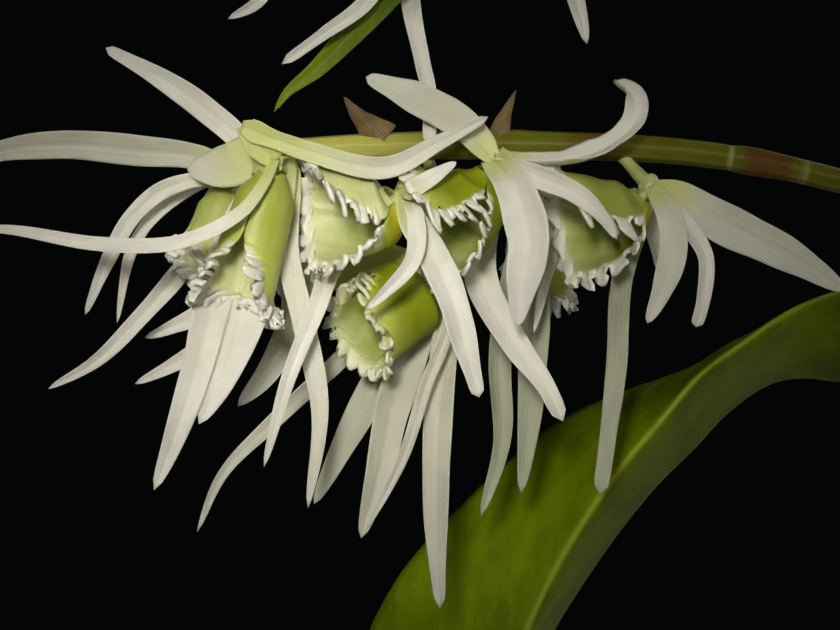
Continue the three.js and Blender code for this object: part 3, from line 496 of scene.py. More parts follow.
class Shader:
    """Builds the nodes of one material."""

    def __init__(self, name: str) -> None:
        """Starts an empty node tree.

        Args:
            name: The material's name.
        """
        self.material = bpy.data.materials.new(name)
        self.material.use_nodes = True
        self.tree = self.material.node_tree
        self.tree.nodes.clear()

    def node(self, kind: str, settings: dict[str, Any] | None = None,
             inputs: dict[Any, Any] | None = None) -> bpy.types.Node:
        """Adds a node, sets what it does, and then feeds its sockets.

        Args:
            kind: The node's type, without its common prefix.
            settings: Its properties by name. Stops are a ramp's pairs of place and colour.
            inputs: Values or wires by socket name or number.

        Returns:
            The node.
        """
        made = self.tree.nodes.new("ShaderNode" + kind)
        for key, value in (settings or {}).items():
            if key == "stops":
                self._set_stops(made.color_ramp, value)
            else:
                setattr(made, key, value)
        for key, value in (inputs or {}).items():
            if isinstance(value, Wire):
                self.tree.links.new(value.socket, made.inputs[key])
            elif isinstance(value, tuple) and len(value) == 3 and made.inputs[key].type == "RGBA":
                made.inputs[key].default_value = (*value, 1)
            else:
                made.inputs[key].default_value = value
        return made

    @staticmethod
    def _set_stops(ramp: bpy.types.ColorRamp, stops: Sequence[tuple[float, Colour]]) -> None:
        """Puts pairs of place and colour on a ramp, which starts with two stops."""
        for place, _ in stops[2:]:
            ramp.elements.new(place)
        for element, (place, colour) in zip(ramp.elements, stops):
            element.position = place
            element.color = (*colour, 1)

    def mark(self, name: str) -> Wire:
        """The value that the mesh carries under a name."""
        made = self.node("Attribute", {"attribute_type": "GEOMETRY", "attribute_name": name})
        return Wire(self, made.outputs["Fac"])

    def place(self, stretch: Colour = (1, 1, 1)) -> Wire:
        """The place on the piece in metres, stretched along each axis."""
        source = self.node("TexCoord").outputs["Object"]
        made = self.node("Mapping", None, {"Vector": Wire(self, source), "Scale": stretch})
        return Wire(self, made.outputs["Vector"])

    def noise(self, size: float, detail: float = 4, rough: float = 0.55, vector: Wire | None = None) -> Wire:
        """Cloudy noise from 0 to 1 whose lumps are about size millimetres."""
        inputs = {"Vector": vector or self.place(), "Scale": PER_METRE / size}
        inputs |= {"Detail": detail, "Roughness": rough}
        return Wire(self, self.node("TexNoise", None, inputs).outputs["Fac"])

    def cells(self, size: float, feature: str = "F1") -> Wire:
        """Distance to the middle or edge of cells about size millimetres wide."""
        inputs = {"Vector": self.place(), "Scale": PER_METRE / size}
        return Wire(self, self.node("TexVoronoi", {"feature": feature}, inputs).outputs["Distance"])

    def lines(self, value: Wire, count: float, size: float, sway: float, power: float) -> Wire:
        """Wavering lines: half a sine of count times the value plus noise, plus a half, to a power.

        Args:
            value: What runs across the lines.
            count: Radians for each 1 of the value.
            size: Size of the lumps that make them waver, in millimetres.
            sway: How far they waver, in radians.
            power: How narrow the bright lines are.
        """
        return ((value * count + self.noise(size) * sway).sine() * 0.5 + 0.5) ** power

    def mix(self, factor: Any, first: Any, second: Any) -> Wire:
        """A colour between two, by a factor from 0 to 1."""
        made = self.node("Mix", {"data_type": "RGBA"}, {0: factor, 6: first, 7: second})
        return Wire(self, made.outputs[2])

    def coats(self, base: Any, *coats: tuple[Any, Colour | Wire]) -> Wire:
        """The base colour under coats of factor and colour, laid on in turn."""
        for factor, colour in coats:
            base = self.mix(factor, base, colour)
        return base

    def ramp(self, factor: Wire, stops: Sequence[tuple[float, Colour]]) -> Wire:
        """The colour at a factor, between the stops."""
        made = self.node("ValToRGB", {"stops": stops}, {"Fac": factor})
        return Wire(self, made.outputs["Color"])

    def relief(self, height: Wire, reach: float, strength: float = 1.0, under: Wire | None = None) -> Wire:
        """A normal that is tilted by a height.

        Args:
            height: The height, from 0 to 1.
            reach: How high 1 stands, in millimetres.
            strength: The share of the tilt that shows.
            under: An earlier normal that it is laid on.

        Returns:
            The normal.
        """
        inputs = {"Height": height, "Distance": reach * METRES, "Strength": strength}
        if under:
            inputs["Normal"] = under
        return Wire(self, self.node("Bump", None, inputs).outputs["Normal"])

    def finish(self, base: Any, roughness: Any, glow: Glow | None = None, **sockets: Any) -> Material:
        """Ends the tree in one surface.

        Args:
            base: Its colour.
            roughness: Its roughness.
            glow: How light soaks into it.
            sockets: Values or wires of its other sockets, with spaces written as underscores.

        Returns:
            The material.
        """
        sockets |= {"Base_Color": base, "Roughness": roughness}
        if glow:
            sockets |= {"Subsurface_Weight": glow.weight, "Subsurface_Radius": glow.radius}
            sockets["Subsurface_Scale"] = glow.scale
        inputs = {key.replace("_", " "): value for key, value in sockets.items()}
        surface = self.node("BsdfPrincipled", None, inputs)
        output = self.node("OutputMaterial")
        self.tree.links.new(surface.outputs["BSDF"], output.inputs["Surface"])
        return self.material


# Finishes


def tint(code: str) -> Colour:
    """The linear colour of a six-figure web code."""
    parts = np.array([int(code[k : k + 2], 16) for k in (0, 2, 4)]) / 255
    linear = np.where(parts <= 0.04045, parts / 12.92, ((parts + 0.055) / 1.055) ** 2.4)
    return tuple(float(part) for part in linear)


@dataclass(frozen=True)
class TepalFinish:
    """Waxy white petal that is green and glassy toward the heart, with faint lengthwise veins."""

    white: Colour = tint("f4f1e2")
    cool: Colour = tint("e3e0d2")
    green: Colour = tint("d3d88c")
    vein: Colour = tint("cdcfae")
    blush: Colour = tint("e0d4dc")
    dim: Colour = tint("a9ac92")

    def dress(self) -> Material:
        """Whites by broad noise, veins as a sine across the blade, green where it is marked.

        Tone is above 0 on lilac tips, and below 0 where grey painted shade is laid on petals in shade.

        Returns:
            The material.
        """
        shader = Shader("petal wax")
        green, tone = shader.mark("green"), shader.mark("tone")
        cloud = shader.noise(6).step(0.35, 0.7)
        veins = shader.lines(shader.mark("across"), 19, 3.2, 2.4, 3)
        base = shader.coats(
            self.white,
            (cloud * 0.8, self.cool),
            (veins * (0.02 + green * 0.25 + cloud * 0.06), self.vein),
            (tone * 0.6, self.blush),
            # grey painted shade on petals that lie in the shade of others
            (0 - tone, self.dim),
            (green * (0.75 + shader.noise(3) * 0.5), self.green),
        )
        grain = shader.relief(shader.noise(0.22, 2), 0.02, 0.4)
        return shader.finish(base, 0.5 + cloud * 0.12 - green * 0.12, Glow(0.3, (1.0, 0.95, 0.65)),
                             Normal=shader.relief(veins, 0.02, 0.25, grain), Specular_IOR_Level=0.3)


@dataclass(frozen=True)
class LipFinish:
    """Yellow-green lip with a cream lining, a dark olive throat, faint nerves and white crisped margins."""

    body: Colour = tint("cbd35a")
    light: Colour = tint("e0e490")
    lining: Colour = tint("e9ecb8")
    throat: Colour = tint("8c9a14")
    crisp: Colour = tint("fbf9ec")
    spot: Colour = tint("d9cc2c")

    def dress(self) -> Material:
        """Body outside and cream inside, throat by green, white by closeness to the edge.

        Tone is above 0 on spots, and below 0 where the outside is pale.

        Returns:
            The material.
        """
        shader = Shader("lip frill")
        across, edge, face = shader.mark("across"), shader.mark("edge"), shader.mark("face")
        green, tone = shader.mark("green"), shader.mark("tone")
        cloud = shader.noise(3).step(0.3, 0.7)
        nerve = shader.lines(across, 24, 2.5, 2.2, 4)
        outer = shader.coats(
            self.body,
            (cloud * 0.7, self.light),
            (green, self.throat),
            ((0 - tone) * (0.7 + cloud * 0.3), self.lining),
        )
        lined = shader.mix(green * (0.8 + cloud * 0.6) * (1.25 - green * 0.5), self.lining, self.throat)
        white = (edge + shader.noise(0.9) * 0.2 - 0.1).step(0.15, 0.6)
        base = shader.coats(
            outer,
            ((face * 0.5 + 0.5).step(0.3, 0.7) * 0.85, lined),
            (nerve * 0.12, self.throat),
            (tone * 0.85, self.spot),
            (white * 0.92, self.crisp),
        )
        grain = shader.relief(shader.noise(0.25, 2), 0.03, 0.5)
        return shader.finish(base, 0.42 + white * 0.14, Glow(0.2, (0.8, 0.8, 0.7), 0.0006),
                             Normal=shader.relief(nerve, 0.03, 0.4, grain), Specular_IOR_Level=0.35)


@dataclass(frozen=True)
class ColumnFinish:
    """Pale green column that whitens to its cap, with a lilac edge under it."""

    stalk: Colour = tint("c3cc82")
    cap: Colour = tint("f0eee0")
    lilac: Colour = tint("a98aa6")

    def dress(self) -> Material:
        """Green to white by tone, and lilac by edge.

        Returns:
            The material.
        """
        shader = Shader("column and cap")
        base = shader.coats(
            self.stalk,
            (shader.mark("tone"), self.cap),
            (shader.mark("edge") * 0.7, self.lilac),
            (shader.noise(0.8).step(0.5, 0.8) * 0.25, self.stalk),
        )
        normal = shader.relief(shader.noise(0.3, 2), 0.04, 0.6)
        return shader.finish(base, 0.34 + shader.noise(0.5) * 0.2, Glow(0.2, (1.0, 0.95, 0.6)), Normal=normal)


@dataclass(frozen=True)
class LeafFinish:
    """Glossy leather leaf with fine parallel nerves, and a paler midrib that is partly a painted highlight.
    """

    deep: Colour = tint("4c6200")
    fresh: Colour = tint("7d9402")
    under: Colour = tint("8ea01c")
    rib: Colour = tint("b0ba3c")
    gloss: float = 0.34

    def dress(self) -> Material:
        """Greens by broad noise, paler toward the tip, nerves as a sine across the blade, rib where across is
        0.

        Returns:
            The material.
        """
        shader = Shader("leaf leather")
        across, face, along = shader.mark("across"), shader.mark("face"), shader.mark("along")
        streak = shader.noise(3, 5, 0.6, shader.place((1, 1, 0.35)))
        cloud = (shader.noise(14) * 0.6 + streak * 0.4).step(0.32, 0.68)
        nerve = shader.lines(across, 44, 9, 2, 3)
        rib = 1 - across.size().step(0.006, 0.04)
        fleck = shader.noise(1.1, 2).step(0.66, 0.78)
        base = shader.coats(
            self.deep,
            (cloud, self.fresh),
            (nerve * 0.1, self.under),
            ((0.5 - face * 0.5) * 0.55, self.under),
            (along.step(0.82, 1.0) * 0.25, self.rib),
            # Paler midrib: partly the rib's own colour, partly a painted highlight along the fold.
            (rib * 0.55, self.rib),
            (fleck * 0.25, self.rib),
        )
        height = nerve * 0.5 + shader.noise(0.5, 3) * 0.6
        normal = shader.relief(height, 0.04, 0.5, shader.relief(shader.noise(7), 0.5, 0.35))
        return shader.finish(base, self.gloss + streak * 0.16 + fleck * 0.1, Glow(0.08, (0.4, 1.0, 0.1)),
                             Normal=normal, Specular_IOR_Level=0.16)


@dataclass(frozen=True)
class CaneFinish:
    """Fleshy jointed stem: yellow-green where young, olive to straw where old, red-brown where scarred."""

    young: Colour = tint("b9b857")
    olive: Colour = tint("686b04")
    old: Colour = tint("86743a")
    scar: Colour = tint("6e4218")
    pale: Colour = tint("bdb675")

    def dress(self) -> Material:
        """Young to old by green and tone, fine ribs round it by across, scars and pale rings by edge.

        Returns:
            The material.
        """
        shader = Shader("cane skin")
        tone, green, edge = shader.mark("tone"), shader.mark("green"), shader.mark("edge")
        streak = shader.noise(2.2, 5, 0.6, shader.place((1, 1, 0.3)))
        ribs = shader.lines(shader.mark("across"), 22, 8, 3, 2)
        speck = shader.noise(0.8, 3).step(0.64, 0.74)
        base = shader.coats(
            self.olive,
            (green, self.young),
            (tone * (0.5 + streak * 0.7), self.old),
            (ribs * 0.1 * (1 + tone), self.pale),
            (speck * (0.2 + tone * 0.5), self.scar),
            (edge.step(0.25, 1.0) * 0.9, self.pale),
            ((0 - edge).step(0.1, 0.9) * (0.45 + streak * 0.7), self.scar),
        )
        grain = shader.relief(shader.noise(0.4, 2), 0.05, 0.5)
        return shader.finish(base, 0.4 + streak * 0.22 + tone * 0.15, Glow(0.08, (0.8, 1.0, 0.3)),
                             Normal=shader.relief(ribs + streak, 0.12, 0.6, grain), Specular_IOR_Level=0.3)


@dataclass(frozen=True)
class PaperFinish:
    """Dry papery sheath or bract, veined, pink-brown to straw, with frayed grey patches."""

    light: Colour = tint("a38d5e")
    dark: Colour = tint("614628")
    ash: Colour = tint("c4b995")

    def dress(self) -> Material:
        """Dark to light by noise, fine veins across, ashy toward the frayed edge.

        Returns:
            The material.
        """
        shader = Shader("papery sheath")
        veins = shader.lines(shader.mark("across"), 40, 4, 2.5, 2)
        cloud = shader.noise(5, 5).step(0.3, 0.7)
        base = shader.coats(
            self.dark,
            (cloud, self.light),
            (veins * 0.4, self.dark),
            (shader.mark("edge") * (0.3 + cloud * 0.5), self.ash),
            (shader.noise(1, 4).step(0.62, 0.74) * 0.6, self.dark),
        )
        normal = shader.relief(veins * 0.7 + shader.noise(0.8), 0.14, 0.8)
        return shader.finish(base, 0.62 + cloud * 0.2, Glow(0.08, (1.0, 0.7, 0.4), 0.0008), Normal=normal)


@dataclass(frozen=True)
class ClayFinish:
    """Unglazed fired clay with wheel marks, darker damp near the foot and chalky salts on the wall."""

    clay: Colour = tint("b06a44")
    dark: Colour = tint("7d452b")
    salt: Colour = tint("d8c8b2")
    algae: Colour = tint("6d7148")

    def dress(self) -> Material:
        """Fired colour by noise, damp by height, salts where two noises meet, grit as relief.

        Returns:
            The material.
        """
        shader = Shader("fired clay")
        split = shader.node("SeparateXYZ", None, {0: shader.place()})
        height = Wire(shader, split.outputs["Z"])
        cloud = shader.noise(34, 5).step(0.3, 0.7)
        fine = shader.noise(2.2, 6, 0.65)
        damp = (1 - (height + cloud * 0.02).step(0.012, 0.05)) * 0.55
        rings = ((height * 2600 + shader.noise(18) * 3).sine() * 0.5 + 0.5) * 0.4
        chalk = (shader.noise(30, 5, 0.6) * 0.7 + fine * 0.3).step(0.47, 0.66)
        green = shader.noise(20, 6, 0.6).step(0.58, 0.72) * height.step(0.05, 0.1)
        base = shader.coats(
            self.clay,
            (cloud * 0.6 + fine * 0.3, self.dark),
            (damp, self.dark),
            (chalk * 0.5, self.salt),
            (green * 0.5, self.algae),
        )
        pits = shader.relief(shader.cells(1.4).step(0.0, 0.35), 0.08, 0.4)
        normal = shader.relief(fine + rings * 0.5, 0.4, 0.6, pits)
        return shader.finish(base, 0.78 + fine * 0.2 - damp * 0.2, Normal=normal)


@dataclass(frozen=True)
class BarkFinish:
    """Fir bark in flaky layers, red-brown to grey-brown, with paler corky fibres."""

    dark: Colour = tint("35241a")
    brown: Colour = tint("6a4329")
    cork: Colour = tint("a3805a")
    grey: Colour = tint("7a6f62")

    def dress(self) -> Material:
        """Layers by stretched noise, cork in thin bands, grey bloom by broad noise, deep cracks.

        Returns:
            The material.
        """
        shader = Shader("bark chip")
        layers = shader.noise(3.4, 7, 0.65, shader.place((1, 1, 2.6)))
        cloud = shader.noise(11, 5).step(0.35, 0.7)
        crack = shader.cells(3.2, "DISTANCE_TO_EDGE").step(0.0, 0.12)
        stops = ((0.2, self.dark), (0.5, self.brown), (0.75, self.cork))
        base = shader.coats(
            shader.ramp(layers * 0.8 + shader.mark("tone") * 0.25, stops),
            (cloud * 0.45, self.grey),
            ((1 - crack) * 0.7, self.dark),
        )
        grain = shader.relief(shader.noise(0.6, 3), 0.2, 0.6)
        normal = shader.relief(layers + crack * 0.5, 1.0, 0.8, grain)
        return shader.finish(base, 0.82 + layers * 0.16, Normal=normal)


@dataclass(frozen=True)
class RootFinish:
    """Spongy silver-grey root skin that turns green at the growing tip."""

    silver: Colour = tint("c9cbbd")
    shade: Colour = tint("8f917f")
    tip: Colour = tint("7fa03a")

    def dress(self) -> Material:
        """Silver to shade by noise, and green by the mark at the tip.

        Returns:
            The material.
        """
        shader = Shader("root skin")
        cloud = shader.noise(2.5, 5).step(0.3, 0.72)
        base = shader.coats(self.silver, (cloud * 0.8, self.shade), (shader.mark("green"), self.tip))
        normal = shader.relief(shader.noise(0.7, 4), 0.16, 0.8)
        return shader.finish(base, 0.6 + cloud * 0.2, Normal=normal)


@dataclass(frozen=True)
class MossFinish:
    """Bright cushion moss, darker at the foot of its leaflets."""

    foot: Colour = tint("2f4410")
    leaf: Colour = tint("7f9a2c")

    def dress(self) -> Material:
        """Dark to bright along each leaflet, varied by noise.

        Returns:
            The material.
        """
        shader = Shader("moss")
        base = shader.mix(shader.mark("along") * (0.6 + shader.noise(3) * 0.7), self.foot, self.leaf)
        normal = shader.relief(shader.noise(0.5), 0.05, 0.5)
        return shader.finish(base, 0.6 + shader.noise(2) * 0.2, Normal=normal)


# Pot


@dataclass(frozen=True)
class ClayPot:
    """The plain flared pot with a band at its rim and four drain holes."""

    height: float = 100.0
    foot: float = 41.0
    shoulder: float = 52.0
    rim: float = 60.0
    band: float = 19.0
    wall: float = 5.0
    floor: float = 7.0
    flare: float = 2.0
    edge: float = 1.5
    hole: float = 5.0
    hole_out: float = 22.0
    holes: int = 4
    waist: tuple[float, float] = (46.5, 40.0)
    pole: float = 0.4
    flat: float = 20.0
    sides: int = 144
    wheel_mark: float = 0.12
    out_of_round: float = 0.003

    def outline(self) -> Array:
        """Radius and height from the middle of the foot, up outside, over the rim and down inside.

        Each corner is cut three times, at a quarter of the lines that meet in it, and so becomes round.

        Returns:
            Pairs, one a row.
        """
        corner, rim, foot = self.height - self.band, self.rim - self.edge, self.foot - self.wall
        inner = self.shoulder - self.wall + self.flare
        brim = inner + self.flare
        stops = np.array(
            [
                (self.pole, 0), (self.flat, 0), (self.foot - 2, 0), (self.foot, 1.4), self.waist,
                (self.shoulder, corner - 0.4), (rim - 1, corner), (rim + 0.1, corner + 1.2),
                (self.rim - 0.5, self.height - 8), (self.rim, self.height - self.edge), (rim, self.height),
                (brim, self.height), (brim - 0.8, self.height - 4), (inner, corner), (foot, self.floor + 2),
                (foot - 3, self.floor), (self.flat, self.floor), (self.pole, self.floor),
            ]
        )
        for _ in range(3):
            early, late = stops[:-1] * 0.75 + stops[1:] * 0.25, stops[:-1] * 0.25 + stops[1:] * 0.75
            cut = np.stack([early, late], 1).reshape(-1, 2)
            stops = np.vstack([stops[:1], cut, stops[-1:]])
        return stops

    def body(self) -> Skin:
        """Turns the outline round the axis, with faint wheel marks as a sine of height.

        Returns:
            The closed body.
        """
        radius, height = self.outline().T
        radius = radius + self.wheel_mark * np.sin(height * 1.9) * smooth(height, 6, 20)
        angle = around(self.sides)
        wobble = 1 + self.out_of_round * np.sin(2 * angle + 0.6)
        return tube(turned(radius[:, None] * wobble[None], height, angle))

    def build(self, clay: Material) -> None:
        """Makes the pot and cuts its drain holes.

        Args:
            clay: The finish of fired clay.
        """
        pot = make_piece("fired_clay_pot", [self.body()], [clay], Slot.CLAY, ["pot"])
        drills = []
        for angle in around(self.holes):
            middle = self.hole_out * np.array([np.cos(angle), np.sin(angle), 0])
            line = Path(np.stack([middle - 4 * UP, middle + 3 * self.floor * UP]))
            drills.append(stem(line, np.full(2, self.hole), 32))
        cutter = make_piece("drill", drills, [clay], Slot.CLAY)
        cut = pot.modifiers.new("drain holes", "BOOLEAN")
        cut.operation, cut.solver, cut.object = "DIFFERENCE", "EXACT", cutter
        view = bpy.context.evaluated_depsgraph_get()
        drilled = bpy.data.meshes.new_from_object(pot.evaluated_get(view))
        pot.modifiers.clear()
        pot.data = drilled
        bpy.data.objects.remove(cutter)


# Bark bed


@dataclass(frozen=True)
class Draws:
    """Repeatable draws from 0 to 1: each is the one before times a factor, less whole turns."""

    seed: int
    factor: int = 16807
    turn: int = 2147483647

    def take(self, count: int) -> Array:
        """The first draws of the series."""
        powers = np.array([pow(self.factor, k + 1, self.turn) for k in range(count)], object)
        return ((powers * self.seed) % self.turn).astype(float) / self.turn


@dataclass(frozen=True)
class BarkBed:
    """Bark chips heaped in the pot, the crumbs between them, moss, and the roots that run over them."""

    top: float = 86.0
    crown: float = 3.0
    shoulder: float = 52.0
    rings: tuple[float, ...] = (9.0, 22.0, 35.0)
    spacing: float = 15.0
    size: tuple[float, float, float] = (19.0, 13.0, 8.0)
    lift: float = 1.2
    roll: float = 0.9
    pitch: float = 0.6
    seed: int = 5
    crumbs: int = 230
    crumb: tuple[float, float, float] = (5.6, 3.8, 2.6)
    crumb_reach: float = 45.0
    tufts: int = 16
    leaflets: int = 90
    tuft_reach: float = 42.0
    tuft_top: float = 89.6
    roots_made: int = 15
    root: float = 1.15
    feet: Rows = ((-12, -7), (-4, 10), (8, -18), (14, 8), (26, -12), (-16, 20), (8, 28), (-28, -14))

    @staticmethod
    def chips(table: Array, rows: int, sides: int, seed: int) -> list[Skin]:
        """Chips as rounded bricks: a sphere's coordinates to a low power, roughened by sines, then turned.

        Args:
            table: Middle, full size, width of the far end, turns about x, y and z, and shade, one chip a row.
            rows: Rings from pole to pole.
            sides: Points in a ring.
            seed: Fixes the roughness.

        Returns:
            One closed body a chip.
        """
        place, size, taper, turns, tone = np.split(table, (3, 6, 7, 10), axis=1)
        chance = np.random.default_rng(seed)
        sphere = globe(rows, sides, 0.1)
        brick = np.sign(sphere) * np.abs(sphere) ** 0.42
        local = brick[None] * size[:, None, None] / 2
        local[..., 1] *= np.where(local[..., 0] > 0, taper[..., None], 1)
        for wave, depth in ((1.1, 0.035), (2.3, 0.022), (4.7, 0.012)):
            phase = chance.uniform(0, 2 * np.pi, (len(place), 1, 1, 3))
            stretch = chance.uniform(0.7, 1.3, (len(place), 1, 1, 3)) * wave
            ripple = np.sin(local[..., [1, 2, 0]] * stretch * 0.6 + phase)
            ripple = ripple + np.sin(local[..., [2, 0, 1]] * stretch + phase[..., ::-1])
            local = local + ripple * depth * size[:, None, None]
        a, b, c = turns.T[:, :, None, None]
        x, y, z = local[..., 0], local[..., 1], local[..., 2]
        y, z = y * np.cos(a) - z * np.sin(a), y * np.sin(a) + z * np.cos(a)
        x, z = x * np.cos(b) + z * np.sin(b), -x * np.sin(b) + z * np.cos(b)
        x, y = x * np.cos(c) - y * np.sin(c), x * np.sin(c) + y * np.cos(c)
        rings = np.stack([x, y, z], -1) + place[:, None, None]
        shades = np.broadcast_to(tone[..., None], rings.shape[:3])
        return [tube(ring, {"tone": shade}) for ring, shade in zip(rings, shades)]

    def level(self, reach: Any) -> Any:
        """How high the bed is at a distance from its middle."""
        return self.top + self.crown * (1 - reach / self.shoulder)

    def big_chips(self) -> list[Skin]:
        """The chips at the places and turns that the solid bed has them, from nine draws each.

        Returns:
            One closed body a chip.
        """
        draws = iter(Draws(self.seed).take(396).reshape(-1, 9))
        rows = []
        for ring in self.rings:
            count = round(2 * np.pi * ring / self.spacing)
            for k in range(count):
                d = next(draws)
                angle = 2 * np.pi * (k + 0.4 * d[0]) / count
                height = self.level(ring) + self.lift * d[8]
                sizes = np.array(self.size) * (0.75 + 0.5 * d[1:4])
                turns = ((d[5] - 0.5) * self.roll, (d[6] - 0.5) * self.pitch, d[7] * np.pi)
                place = (ring * np.cos(angle), ring * np.sin(angle), height)
                rows.append([*place, *sizes, 0.6 + 0.3 * d[4], *turns, d[3]])
        return self.chips(np.array(rows), 22, 36, self.seed)

    def fill(self) -> Skin:
        """The bed under the chips: a turned body up to a crowned top, rough by two sines.

        Returns:
            The closed body.
        """
        radius = np.array([0.3, 20, 33, 35.6, 42, 46.6, 48.8, 48.9, 46, 30, 15, 0.3])
        height = np.array([7.4, 7.4, 7.4, 8.5, 45, 76, 81, 83, 85, 87, 88.2, 88.6])
        rings = turned(radius[:, None], height, around(72))
        x, y, z = np.moveaxis(rings, -1, 0)
        z += 0.5 * np.sin(x * 0.9) * np.sin(y * 0.8) * (z > 83)
        return tube(rings, {"tone": np.full(rings.shape[:2], 0.1)})

    def small_chips(self) -> list[Skin]:
        """Crumbs scattered evenly over the bed, at the root of a drawn share of its radius.

        Returns:
            One closed body a crumb.
        """
        chance = np.random.default_rng(31)
        reach = self.crumb_reach * np.sqrt(chance.uniform(0.01, 1, self.crumbs))
        angle = chance.uniform(0, 2 * np.pi, self.crumbs)
        height = self.level(reach) + chance.uniform(1.2, 4.6, self.crumbs)
        place = np.stack([reach * np.cos(angle), reach * np.sin(angle), height - reach * 0.03], 1)
        size = chance.uniform(0.55, 1.4, (self.crumbs, 1)) * np.array([self.crumb])
        turns = chance.uniform(-1, 1, (self.crumbs, 3)) * np.array([[0.7, 0.6, np.pi]])
        tone = chance.uniform(0, 1, self.crumbs)
        return self.chips(np.column_stack([place, size, 0.6 + 0.4 * tone, turns, tone]), 8, 12, 77)

    def moss(self) -> Skin:
        """Moss as tapering four-sided leaflets that lean out of low mounds.

        Returns:
            All leaflets as one body of closed parts.
        """
        chance = np.random.default_rng(12)
        count = self.tufts * self.leaflets
        reach = self.tuft_reach * np.sqrt(chance.uniform(0.05, 1, self.tufts))
        turn = chance.uniform(0, 2 * np.pi, self.tufts)
        height = 0 * turn + self.tuft_top - reach * 0.05
        middle = np.stack([reach * np.cos(turn), reach * np.sin(turn), height], 1)
        off = chance.normal(0, 2.6, (self.tufts, self.leaflets, 2))
        foot = np.concatenate([off, -0.08 * np.sum(off**2, -1, keepdims=True)], -1) + middle[:, None]
        foot = foot.reshape(count, 3)
        lean = np.concatenate([chance.normal(0, 0.55, (count, 2)), np.ones((count, 1))], 1)
        rise = unit(lean) * chance.uniform(1.6, 3.4, (count, 1))
        side = unit(np.cross(rise, chance.normal(0, 1, (count, 3))))
        front = unit(np.cross(side, rise))
        share = np.array([0, 0.45, 0.8, 1.0])
        wide = np.array([0.2, 0.34, 0.22, 0.03])
        corners = ((1, 1), (-1, 1), (-1, -1), (1, -1))
        rings = np.stack(
            [
                foot[:, None]
                + rise[:, None] * share[None, :, None]
                + side[:, None] * (a * wide)[None, :, None]
                + front[:, None] * (b * wide * 0.5)[None, :, None]
                for a, b in corners
            ],
            axis=2,
        )
        quads = tube(rings[0]).quads[None] + (np.arange(count) * 16)[:, None, None]
        along = np.broadcast_to(share[None, :, None], rings.shape[:3])
        return closed(rings, quads, {"along": along})

    def roots(self) -> list[Skin]:
        """Roots that leave the canes' feet, run outward over the chips in a wave, and dive into them.

        Returns:
            One closed body a root.
        """
        chance = np.random.default_rng(8)
        skins = []
        for k in range(self.roots_made):
            foot = np.array(self.feet[k % len(self.feet)], float)
            head = np.arctan2(foot[1], foot[0]) + chance.uniform(-0.9, 0.9)
            out, side = np.array([np.cos(head), np.sin(head)]), np.array([-np.sin(head), np.cos(head)])
            run = min(42 - float(np.linalg.norm(foot)), 30) * chance.uniform(0.7, 1)
            share = np.array([0.0, 0.12, 0.35, 0.6, 0.85, 1.0])
            wave = chance.uniform(-3.5, 3.5, 6) * np.array([0, 0.3, 1, 1, 1, 1])
            level = foot + out * (share * run)[:, None] + side * wave[:, None]
            height = np.array([93, 95, 93.6, 92.6, 90.4, 84.5]) + chance.uniform(-0.6, 0.6, 6)
            path = Path(np.column_stack([level, height]))
            along = np.linspace(0, 1, 60)
            thick = self.root * (1 + 0.06 * np.sin(along * 37 + k)) * (1 - 0.25 * along)
            skins.append(stem(path, thick, 12, green=0.5 * (1 - smooth(along, 0, 0.1))))
        return skins

    def build(self, bark: Material, root: Material, moss: Material) -> None:
        """Makes the chips, crumbs, roots and moss.

        Args:
            bark: The finish of the chips.
            root: The finish of the roots.
            moss: The finish of the moss.
        """
        make_piece("bark_chips", [self.fill(), *self.big_chips()], [bark], Slot.BARK, ["bark_bed"])
        make_piece("bark_crumbs", self.small_chips(), [bark], Slot.BARK)
        make_piece("aerial_roots", self.roots(), [root], Slot.CANE)
        make_piece("moss_tufts", [self.moss()], [moss], Slot.LEAF)


# Canes


